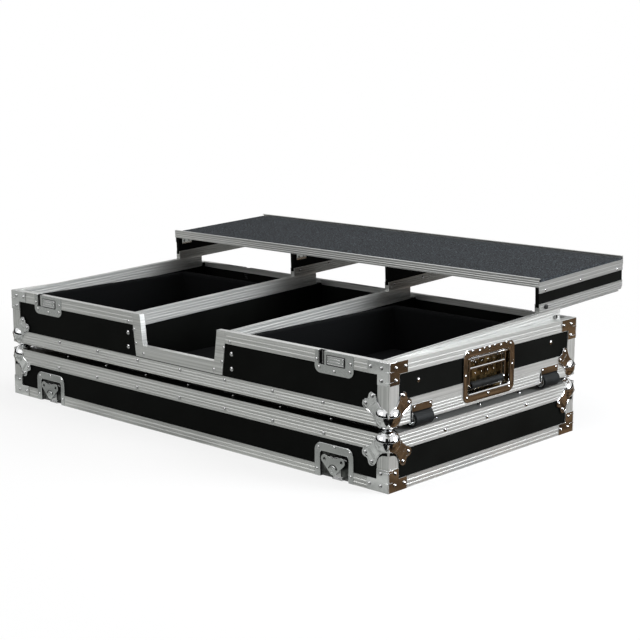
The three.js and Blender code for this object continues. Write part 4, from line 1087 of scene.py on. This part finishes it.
class CASE_OT_handles(bpy.types.Operator):
    """Makes the two spring handles: pan, bail with its springs, and grip."""

    bl_idname = "case.handles"
    bl_label = "Handles"

    def execute(self, context):
        dimples = [(u, v, -17.7) for u in (-40, -20, 0, 20, 40) for v in (178, 200)]
        for wall in (1, 3):
            hand = WALLS[wall]
            pan_rivets = [heads(at_height(PAN_RIVETS, 1.7), wall, 3.7, 1.9),
                          heads([(*BIG_PAN_RIVET, 1.7)], wall, 4.8, 2.3, 14)]
            # The pan's back plates are chrome with a painted brown reflection
            for name, parts, look, more in (
                    ("pan", wall_parts([handle_pan()], wall), "chrome",
                     dict(replaces=f"handle_dish_{hand}", crease=40)),
                    ("pan_back", wall_parts(pan_backing(), wall), "stained chrome", {}),
                    ("pan_dimples", [heads(dimples, wall, 1.7, 0.9)], "rivet", {}),
                    ("pan_rivets", pan_rivets, "rivet", {})):
                make_piece(f"{name}_{hand}", parts, look, "base", "chrome", **more)
            make_piece(f"bail_{hand}", wall_parts(bail_parts(), wall), "chrome", f"handle_{hand}",
                       "chrome", f"handle_bail_{hand}", crease=40)
            make_piece(f"grip_{hand}", wall_parts([grip_part()], wall), "rubber",
                       f"handle_{hand}", "rubber", f"handle_grip_{hand}", crease=50)
        return {"FINISHED"}


# Profiles (radius, height along the axle) of a tyre from its middle out, of its bore, of an end
# cap and of an axle head
TYRE = np.array([[15.0, 0.0], [15.0, 12.0], [15.0, 23.4], [14.9, 24.8], [14.5, 25.9], [13.4, 26.4]])
BORE = np.array([[10.8, 26.4], [10.5, 24.7], [10.5, -24.7], [10.8, -26.4]])
WHEEL_CAP = np.array([
    [10.4, 22.0], [10.4, 26.2], [9.8, 26.5], [8.2, 26.5], [7.2, 25.4], [4.4, 25.4], [3.4, 25.8],
    [3.4, 22.0]])
AXLE_HEAD = np.array([[5.0, 29.6], [5.0, 31.2], [4.2, 31.9], [0.3, 32.2]])
BRACKET_RIVETS = ((-184, 152, 1.7), (-231, 152, 1.7), (184, 152, 1.7), (231, 152, 1.7))


class CASE_OT_wheels(bpy.types.Operator):
    """Finishes the wheel brackets and makes the rollers with their end caps."""

    bl_idname = "case.wheels"
    bl_label = "Edge wheels"

    def execute(self, context):
        ring = np.concatenate([TYRE[:0:-1] * [1, -1], TYRE, BORE])
        caps = [grid(swept(WHEEL_CAP * [1, s], 48), True, True) for s in SIDES]
        axle_heads = [turned(AXLE_HEAD * [1, s], 24) for s in SIDES]
        for side in SIDES:
            start = np.array([AXLE[0], side * WHEEL_Y, AXLE[1]])
            place = END[side]

            def placed(parts):
                return [moved(part, lambda p: at_centre(p[:, [0, 2, 1]] + start)) for part in parts]

            dress(f"wheel_bracket_{place}", "chrome", 0.3)
            make_piece(f"roller_{place}", placed([grid(swept(ring, 48), True, True)]), "rubber",
                       f"wheel_{place}", "rubber", f"edge_wheel_{place}", crease=50)
            make_piece(f"roller_caps_{place}", placed(caps), "zinc", f"wheel_{place}", "zinc",
                       crease=40)
            make_piece(f"axle_heads_{place}", placed(axle_heads), "rivet", "base", "chrome")
        make_piece("wheel_rivets", [heads(BRACKET_RIVETS, 1, 3.2, 1.5)], "rivet", "base", "chrome")
        return {"FINISHED"}


# Lining

FOAM_INNER, FOAM_OUTER = INNER_X + 6.6, RAIL_X - 6.6
FOAM_LOW, FOAM_HIGH = FLOOR_TOP + 3.2, RIM - 13.0
WALL_INSIDE = HALF_DEPTH - 11.2
REAR_SPACE = 79.2
MAT_HEIGHT, MAT_REACH = 3, HALF_DEPTH - 11.4


def foam_ring_part(side):
    """A foam ring round a side bay: an outer and an inner rectangle with round corners, and
    edges that soften upwards as each outline is drawn in."""
    low_y, high_y = -WALL_INSIDE, WALL_INSIDE - REAR_SPACE
    u, v = (FOAM_OUTER - FOAM_INNER) / 2, (high_y - low_y) / 2
    middle = (side * (FOAM_INNER + FOAM_OUTER) / 2, (low_y + high_y) / 2)
    levels = [(0.0, FOAM_LOW), (0.0, FOAM_HIGH - 6), (0.6, FOAM_HIGH - 3), (2.0, FOAM_HIGH - 0.9),
              (4.5, FOAM_HIGH - 0.15), (9.0, FOAM_HIGH)]
    rings = [(rounded_loop(u - inset, v - inset, 2.5 + inset * 0.2, middle, 9), z)
             for inset, z in levels]
    rings += [(rounded_loop(u - 19.1 + inset, v - 25 + inset, 4.0 + inset * 0.2, middle, 9), z)
              for inset, z in reversed(levels)]
    return moved(grid(lofted(rings), True, True), at_centre)


def mat_part(low, high):
    """The mat of one bay: a plate whose outline is drawn in a little at its upper edge."""
    half, middle = (high - low) / 2, ((low + high) / 2, 0)
    loops = [rounded_loop(half - inset, MAT_REACH - inset, 1.5, middle, 4)
             for inset in (0, 0, 0.5, 1.4)]
    top = FLOOR_TOP + MAT_HEIGHT
    return moved(drum(lofted(zip(loops, (FLOOR_TOP, top - 0.8, top - 0.2, top)))), at_centre)


class CASE_OT_lining(bpy.types.Operator):
    """Makes the felt faced foam rings and the mat on the floor."""

    bl_idname = "case.lining"
    bl_label = "Foam lining"

    def execute(self, context):
        beside = INNER_X + 4.8
        bays = ((11.4 - HALF_WIDTH, -beside), (-INNER_X + 4.8, INNER_X - 4.8),
                (beside, HALF_WIDTH - 37))
        soft = {f"foam_ring_{HAND[side]}": [foam_ring_part(side)] for side in SIDES}
        soft["floor_mat"] = [mat_part(low, high) for low, high in bays]
        for name, parts in soft.items():
            piece = make_piece(name, parts, "felt", "base", "foam", "base_lining", crease=60)
        return {"FINISHED"}


# Shelf, drawn from its front edge: x to the right, y to the rear, z from the foot of the runners

# Sections (x, z): half of a runner's tongue, and an L-bracket on the side where x is positive
TONGUE = ((3.1, -4.0), (3.1, -2.4), (1.6, -2.4), (1.6, 0.8))
BRACKET = np.array([
    [4.5, 54.7], [4.5, 38.2], [5.1, 37.7], [6.5, 37.7], [6.5, 51.6], [7.1, 52.7], [21.0, 52.7],
    [21.5, 53.2], [21.5, 54.7]])
BRACKET_WIDTH, BRACKET_INSET = 32, 10.0
BRACKET_Y = (BRACKET_INSET, SHELF_DEPTH - BRACKET_INSET - BRACKET_WIDTH)
RUNNER_ROUND = 10
# The plywood panel of a leg: half its thickness, half its height, and its middle
PANEL_THICK, PANEL_HALF, PANEL_LEVEL = 4.5, 21.2, 33.5
# Each leg: its place along x, the side of its brackets, and the side of its knob
LEGS = (("outer_left", -RAIL_X, 1, -1), ("inner_left", -INNER_X, 1, 0),
        ("inner_right", INNER_X, -1, 0), ("outer_right", RAIL_X, -1, 1))


def mirrored(half):
    """A section from its right half: the places, and then back along their mirror image."""
    return np.array([*half, *((-x, z) for x, z in reversed(half))])


def grooves(low, high, count, depth=0.6, half=1.1):
    """V-shaped grooves at even places along a face from low to high, as (depth, place)."""
    line = [(0.0, low)]
    for middle in np.linspace(low, high, count + 2)[1:-1]:
        line += [(0.0, middle - half), (depth, middle), (0.0, middle + half)]
    return line + [(0.0, high)]


def board_part():
    """The plywood board: a straight section with a rebate for the edge frame on both sides."""
    half, step = SHELF_HALF - 1.5, BOARD_HIGH - 1.5
    inner = half - 20
    right = [(half, BOARD_LOW), (half, step), (inner, step), (inner, BOARD_HIGH)]
    return bar_section(mirrored(right), 0, SHELF_DEPTH)


def carpet_part(height):
    """The carpet: a slab whose top falls off along a quarter circle at its border, with each
    place lowered by chance as the tufts are."""
    x = np.linspace(-SHELF_HALF + 0.3, SHELF_HALF - 0.3, 221)
    y = np.linspace(3.5, SHELF_DEPTH - 3.5, 65)
    gx, gy = np.meshgrid(x, y, indexing="ij")
    border = np.minimum(np.minimum(gx - x[0], x[-1] - gx), np.minimum(gy - y[0], y[-1] - gy))
    soft = np.sqrt(np.clip(1 - (1 - np.clip(border / 2.2, 0, 1)) ** 2, 0, 1))
    fuzz = -0.22 * np.random.default_rng(7).random(gx.shape)
    low = BOARD_HIGH + SEAT
    top = np.stack([gx, gy, low + height * (0.55 + 0.45 * soft) + fuzz], -1)
    return slab_between(top, np.stack([gx, gy, 0 * gx + low], -1))


def runner_parts():
    """A runner: a grooved section carried along y, with its foot rounded up along a quarter
    circle at the rear, and the tongue that stays in the rail's slot."""
    outer = [(6 - depth, z) for depth, z in grooves(0.3, 19.8, 3)]
    section = mirrored([*outer, (4.6, 19.8), (4.6, 12.0)])
    bend = SHELF_DEPTH - RUNNER_ROUND
    y = np.concatenate([
        [0, bend], bend + RUNNER_ROUND * np.sin(np.linspace(0.15, math.pi / 2, 9))])[:, None]
    past = np.clip(y - bend, 0, RUNNER_ROUND)
    foot = 0.3 + RUNNER_ROUND - np.sqrt(np.clip(RUNNER_ROUND**2 - past**2, 0, None))
    z = np.where(y > bend, np.maximum(section[:, 1], foot), section[:, 1])
    points = np.stack([*np.broadcast_arrays(section[:, 0], y), z], -1)
    return [drum(points), bar_section(mirrored(TONGUE), 0, bend - 0.5)]


def shelf_bolts():
    """Places and normals of all screws and rivets of the shelf, in the case's frame."""
    under = (0, math.sin(RAIL_TILT), -math.cos(RAIL_TILT))
    bolts = []
    for _, x, inward, knob in LEGS:
        for y in BRACKET_Y:
            bolts += [(x + inward * 6.5, y + dy, 45.0, inward, 0, 0) for dy in (8, 24)]
            bolts.append((x + inward * 14.5, y + 16, 52.7, *under))
        if not knob:
            bolts += [(x + side * 6.0, y, 13.0, side, 0, 0)
                      for y in (20.0, 120.0, 220.0, 300.0) for side in SIDES]
    bolts += [(side * SHELF_HALF, y, 47.0, side, 0, 0)
              for side in SIDES for y in (20.4, 151.0, 294.5)]
    bolts = np.array(bolts, float)
    return on_shelf(bolts[:, :3]), bolts[:, 3:]


def make_leg(name, x, inward, knob):
    """One leg of the shelf: plywood panel, runner, two brackets, and a knob on the outer ones."""

    def put(piece, parts, look, slot, **more):
        placed = [moved(part, lambda p: on_shelf(p + [x, 0.0, 0.0])) for part in parts]
        make_piece(f"{piece}_{name}", placed, look, "shelf", slot, **more)

    half = SHELF_DEPTH / 2
    panel = rounded_loop(half, PANEL_HALF, 0.5, (half, PANEL_LEVEL), 3)
    panel = lying(prism(panel, -PANEL_THICK, PANEL_THICK), np.zeros(3))
    stands_for = f"shelf_leg_{name}"
    put("leg_panel", [panel], "laminate", "laminate", replaces=stands_for, bevel=0.2)
    # The runners' aluminium has painted shade on its faces turned left or right
    put("leg_runner", runner_parts(), "aluminium, dulled", "aluminium", replaces=stands_for,
        crease=25)
    brackets = [bar_section(BRACKET * [inward, 1], y, y + BRACKET_WIDTH)
                for y in BRACKET_Y]
    put("leg_brackets", brackets, "zinc", "zinc", replaces=stands_for, bevel=0.3)
    if knob:
        put("shelf_knob", [lying(turned(KNOB, 24), (0.0, 22.0, 11.6), knob)], "nylon", "rubber")


class CASE_OT_shelf(bpy.types.Operator):
    """Makes the shelf's board, carpet, legs, runners, brackets and knobs."""

    bl_idname = "case.shelf"
    bl_label = "Gliding shelf"

    def execute(self, context):
        make_piece("shelf_plywood", [moved(board_part(), on_shelf)], "laminate", "shelf",
                   "laminate", "shelf_board", bevel=0.2)
        carpet = moved(carpet_part(context.scene.case_sizes.carpet_height), on_shelf)
        carpet = make_piece("shelf_carpet", [carpet], "carpet", "shelf", "carpet", "shelf_board",
                            crease=80)
        for leg in LEGS:
            make_leg(*leg)
        make_piece("shelf_rivets", [domes(*shelf_bolts(), 2.9, 1.4)], "rivet", "shelf", "chrome")
        return {"FINISHED"}


# Stage, in metres

FLOOR_REACH = 14.0
# Name, place, aim, size, power in watts and colour of each lamp
LAMPS = (
    ("overhead softbox", (0.3, 0.2, 2.4), (0, 0, 0.1), (2.4, 1.8), 34, (1.0, 1.0, 1.0)),
    ("front softbox", (-1.0, -3.4, 1.9), (0, 0, 0.2), (1.6, 1.2), 24, (1.0, 1.0, 0.98)),
    ("right softbox", (3.0, 0.9, 1.1), (0.2, 0, 0.2), (1.2, 1.2), 105, (0.94, 0.97, 1.0)),
)
WARM, GREY, DARK = (0x3A2E22, 0x786048), (0x8E908D, 0xC6C8C4), (0x0E0E0E, 0x1C1C1B)


def empty_tree(holder):
    """The node tree of a material or world, with nothing in it."""
    holder.use_nodes = True
    holder.node_tree.nodes.clear()
    return holder.node_tree


def sees_white(tree):
    """One for rays from the camera and for mirrored ones or ones let through, else nought."""
    rays = add_node(tree, "ShaderNodeLightPath").outputs
    direct = {0: rays["Is Camera Ray"], 1: rays["Is Glossy Ray"]}
    seen = add_node(tree, MATH, direct, operation="MAXIMUM").outputs[0]
    either = {0: seen, 1: rays["Is Transmission Ray"]}
    return add_node(tree, MATH, either, operation="MAXIMUM").outputs[0]


def stage_card(name, corners, look):
    """A flat card that belongs to the studio."""
    mesh = bpy.data.meshes.new(name)
    mesh.from_pydata(corners, [], [(0, 1, 2, 3)])
    mesh.materials.append(look)
    card = bpy.data.objects.new(name, mesh)
    bpy.context.scene.collection.objects.link(card)
    return card


def reflection_card(name, corners, tints):
    """A card mottled between two colours that shows in bright metal and nowhere else."""
    look = bpy.data.materials.new(name)
    tree = empty_tree(look)
    place = add_node(tree, "ShaderNodeTexCoord").outputs["Object"]
    clouds = add_node(tree, NOISE, {"Vector": place}, Scale=per_metre(160), Detail=2.0)
    mottle = add_node(tree, "ShaderNodeValToRGB", {"Fac": clouds.outputs["Fac"]})
    for stop, place, tint in zip(mottle.color_ramp.elements, (0.38, 0.62), tints):
        stop.position = place
        stop.color = linear(hex_colour(tint))
    glow = add_node(tree, "ShaderNodeEmission", {"Color": mottle.outputs["Color"]}, Strength=1.0)
    add_node(tree, "ShaderNodeOutputMaterial", {"Surface": glow.outputs["Emission"]})
    card = stage_card(name, corners, look)
    card.visible_camera = False
    card.visible_diffuse = False
    card.visible_transmission = False
    card.visible_shadow = False


def make_floor():
    """A pale floor: near the case it keeps part of its own shade, and with it the shadow. Further
    out it is plain white."""
    look = bpy.data.materials.new("pale floor")
    tree = empty_tree(look)
    ground = add_node(tree, "ShaderNodeBsdfDiffuse", Color=(0.9, 0.9, 0.9, 1))
    light = add_node(tree, "ShaderNodeEmission", Color=(1, 1, 1, 1), Strength=1.0)
    place = add_node(tree, "ShaderNodeTexCoord").outputs["Object"]
    away = add_node(tree, "ShaderNodeVectorMath", {0: place}, operation="LENGTH")
    share = add_node(tree, "ShaderNodeMapRange", {"Value": away.outputs["Value"]}, From_Min=0.7,
                     From_Max=1.6, To_Min=0.78, To_Max=1.0)
    both = {0: sees_white(tree), 1: share.outputs["Result"]}
    part = add_node(tree, MATH, both, operation="MULTIPLY").outputs[0]
    mix = add_node(tree, "ShaderNodeMixShader",
                   {0: part, 1: ground.outputs["BSDF"], 2: light.outputs["Emission"]})
    add_node(tree, "ShaderNodeOutputMaterial", {"Surface": mix.outputs["Shader"]})
    outline = rectangle(-FLOOR_REACH, FLOOR_REACH, -FLOOR_REACH, FLOOR_REACH)
    stage_card("floor", at_height(outline, 0.0).tolist(), look)


def make_sky(scene):
    """A sky that is plain white to look at, and gives the case less light than that."""
    scene.world = bpy.data.worlds.new("studio")
    tree = empty_tree(scene.world)
    strength = add_node(tree, "ShaderNodeMapRange", {"Value": sees_white(tree)}, To_Min=0.4,
                        To_Max=1.0)
    sky = add_node(tree, "ShaderNodeBackground", {"Strength": strength.outputs["Result"]},
                   Color=(1, 1, 1, 1))
    add_node(tree, "ShaderNodeOutputWorld", {"Surface": sky.outputs["Background"]})


def make_boards():
    """Boards that only bright metal shows: warm ones on the floor at both sides, grey ones before
    and behind the case, a dark one out from the corner next to the camera, dark screens round the
    studio, and a tall one behind the camera that gives every dome and ball its dark middle."""
    far, edge, end = 3000.0, HALF_WIDTH + 1, HALF_DEPTH + 1
    for name, outline, tints in (
            ("front", (-far, edge, -far, -end), GREY), ("rear", (-edge, edge, end, far), GREY),
            ("left", (-far, -edge, -end, far), WARM), ("right", (edge, far, -end, far), WARM),
            ("corner", (edge, far, -far, -end), DARK)):
        flat = at_centre(at_height(rectangle(*outline), 0.5)) / 1000
        reflection_card(f"{name}_board", flat.tolist(), tints)
    out, top = 6.0, 1.6
    for side, letter in zip(SIDES, "ab"):
        x = side * out
        wall = [(x, -out, 0.0), (x, out, 0.0), (x, out, top), (x, -out, top)]
        reflection_card(f"screen_{letter}_0", wall, DARK)
        reflection_card(f"screen_{letter}_1", [(y, x, z) for x, y, z in wall], DARK)
    away, across = np.array([0.681, -0.732]) * 6.5, np.array([0.732, 0.681]) * 2.3
    left, right = (away - across).tolist(), (away + across).tolist()
    behind = [(*left, 0.0), (*right, 0.0), (*right, 5.5), (*left, 5.5)]
    reflection_card("screen_behind", behind, DARK)


def make_camera(scene):
    """The camera that was fitted to the photograph: 1489.4 pixels of focal length on 640, turned
    42.92 degrees from +Y towards -X and tipped 11.02 degrees down."""
    camera = bpy.data.cameras.new("camera")
    camera.sensor_width = 36.0
    camera.sensor_fit = "HORIZONTAL"
    camera.lens = 1489.4 / 640 * camera.sensor_width
    camera.clip_end = 100.0
    eye = bpy.data.objects.new("camera", camera)
    eye.location = Vector(at_centre([2272.5, -2312.6, 838.7]) / 1000)
    eye.rotation_euler = (math.radians(90 - 11.02), 0.0, math.radians(42.92))
    scene.collection.objects.link(eye)
    scene.camera = eye


class CASE_OT_stage(bpy.types.Operator):
    """Sets the pale floor, the soft lamps, the sky and the camera."""

    bl_idname = "case.stage"
    bl_label = "Stage and camera"

    def execute(self, context):
        scene = context.scene
        scene.view_settings.view_transform = "Standard"
        make_floor()
        make_sky(scene)
        for name, place, aim, size, power, colour in LAMPS:
            lamp = bpy.data.lights.new(name, "AREA")
            lamp.shape = "RECTANGLE"
            lamp.size, lamp.size_y = size
            lamp.energy = power
            lamp.color = colour
            holder = bpy.data.objects.new(name, lamp)
            holder.location = place
            toward = Vector(aim) - Vector(place)
            holder.rotation_euler = toward.to_track_quat("-Z", "Y").to_euler()
            scene.collection.objects.link(holder)
        make_boards()
        make_camera(scene)
        return {"FINISHED"}


STEPS = (
    CASE_OT_walls, CASE_OT_edges, CASE_OT_braces, CASE_OT_ball_corners, CASE_OT_rivets,
    CASE_OT_latches, CASE_OT_handles, CASE_OT_wheels, CASE_OT_lining, CASE_OT_shelf, CASE_OT_stage)


class CASE_PT_panel(bpy.types.Panel):
    """Lists the sizes, colours and steps of the case."""

    bl_idname = "CASE_PT_panel"
    bl_label = "Coffin case"
    bl_space_type = "VIEW_3D"
    bl_region_type = "UI"
    bl_category = "Coffin case"

    def draw(self, context):
        for group in (context.scene.case_sizes, context.scene.case_colours):
            for name in group.bl_rna.properties.keys():
                if name not in ("rna_type", "name"):
                    self.layout.prop(group, name)
        for step in STEPS:
            self.layout.operator(step.bl_idname)


CLASSES = (CaseSizes, CaseColours, *STEPS, CASE_PT_panel)


def register():
    """Adds the classes and hangs the sizes and colours on the scene."""
    for cls in CLASSES:
        bpy.utils.register_class(cls)
    bpy.types.Scene.case_sizes = bpy.props.PointerProperty(type=CaseSizes)
    bpy.types.Scene.case_colours = bpy.props.PointerProperty(type=CaseColours)


def unregister():
    """Takes the sizes, colours and classes away again."""
    del bpy.types.Scene.case_colours
    del bpy.types.Scene.case_sizes
    for cls in reversed(CLASSES):
        bpy.utils.unregister_class(cls)


def main():
    """Makes every piece in order."""
    register()
    for step in STEPS:
        group, name = step.bl_idname.split(".")
        result = getattr(getattr(bpy.ops, group), name)()
        if result != {"FINISHED"}:
            raise RuntimeError(f"{step.bl_label} did not finish")


if __name__ == "__main__":
    main()
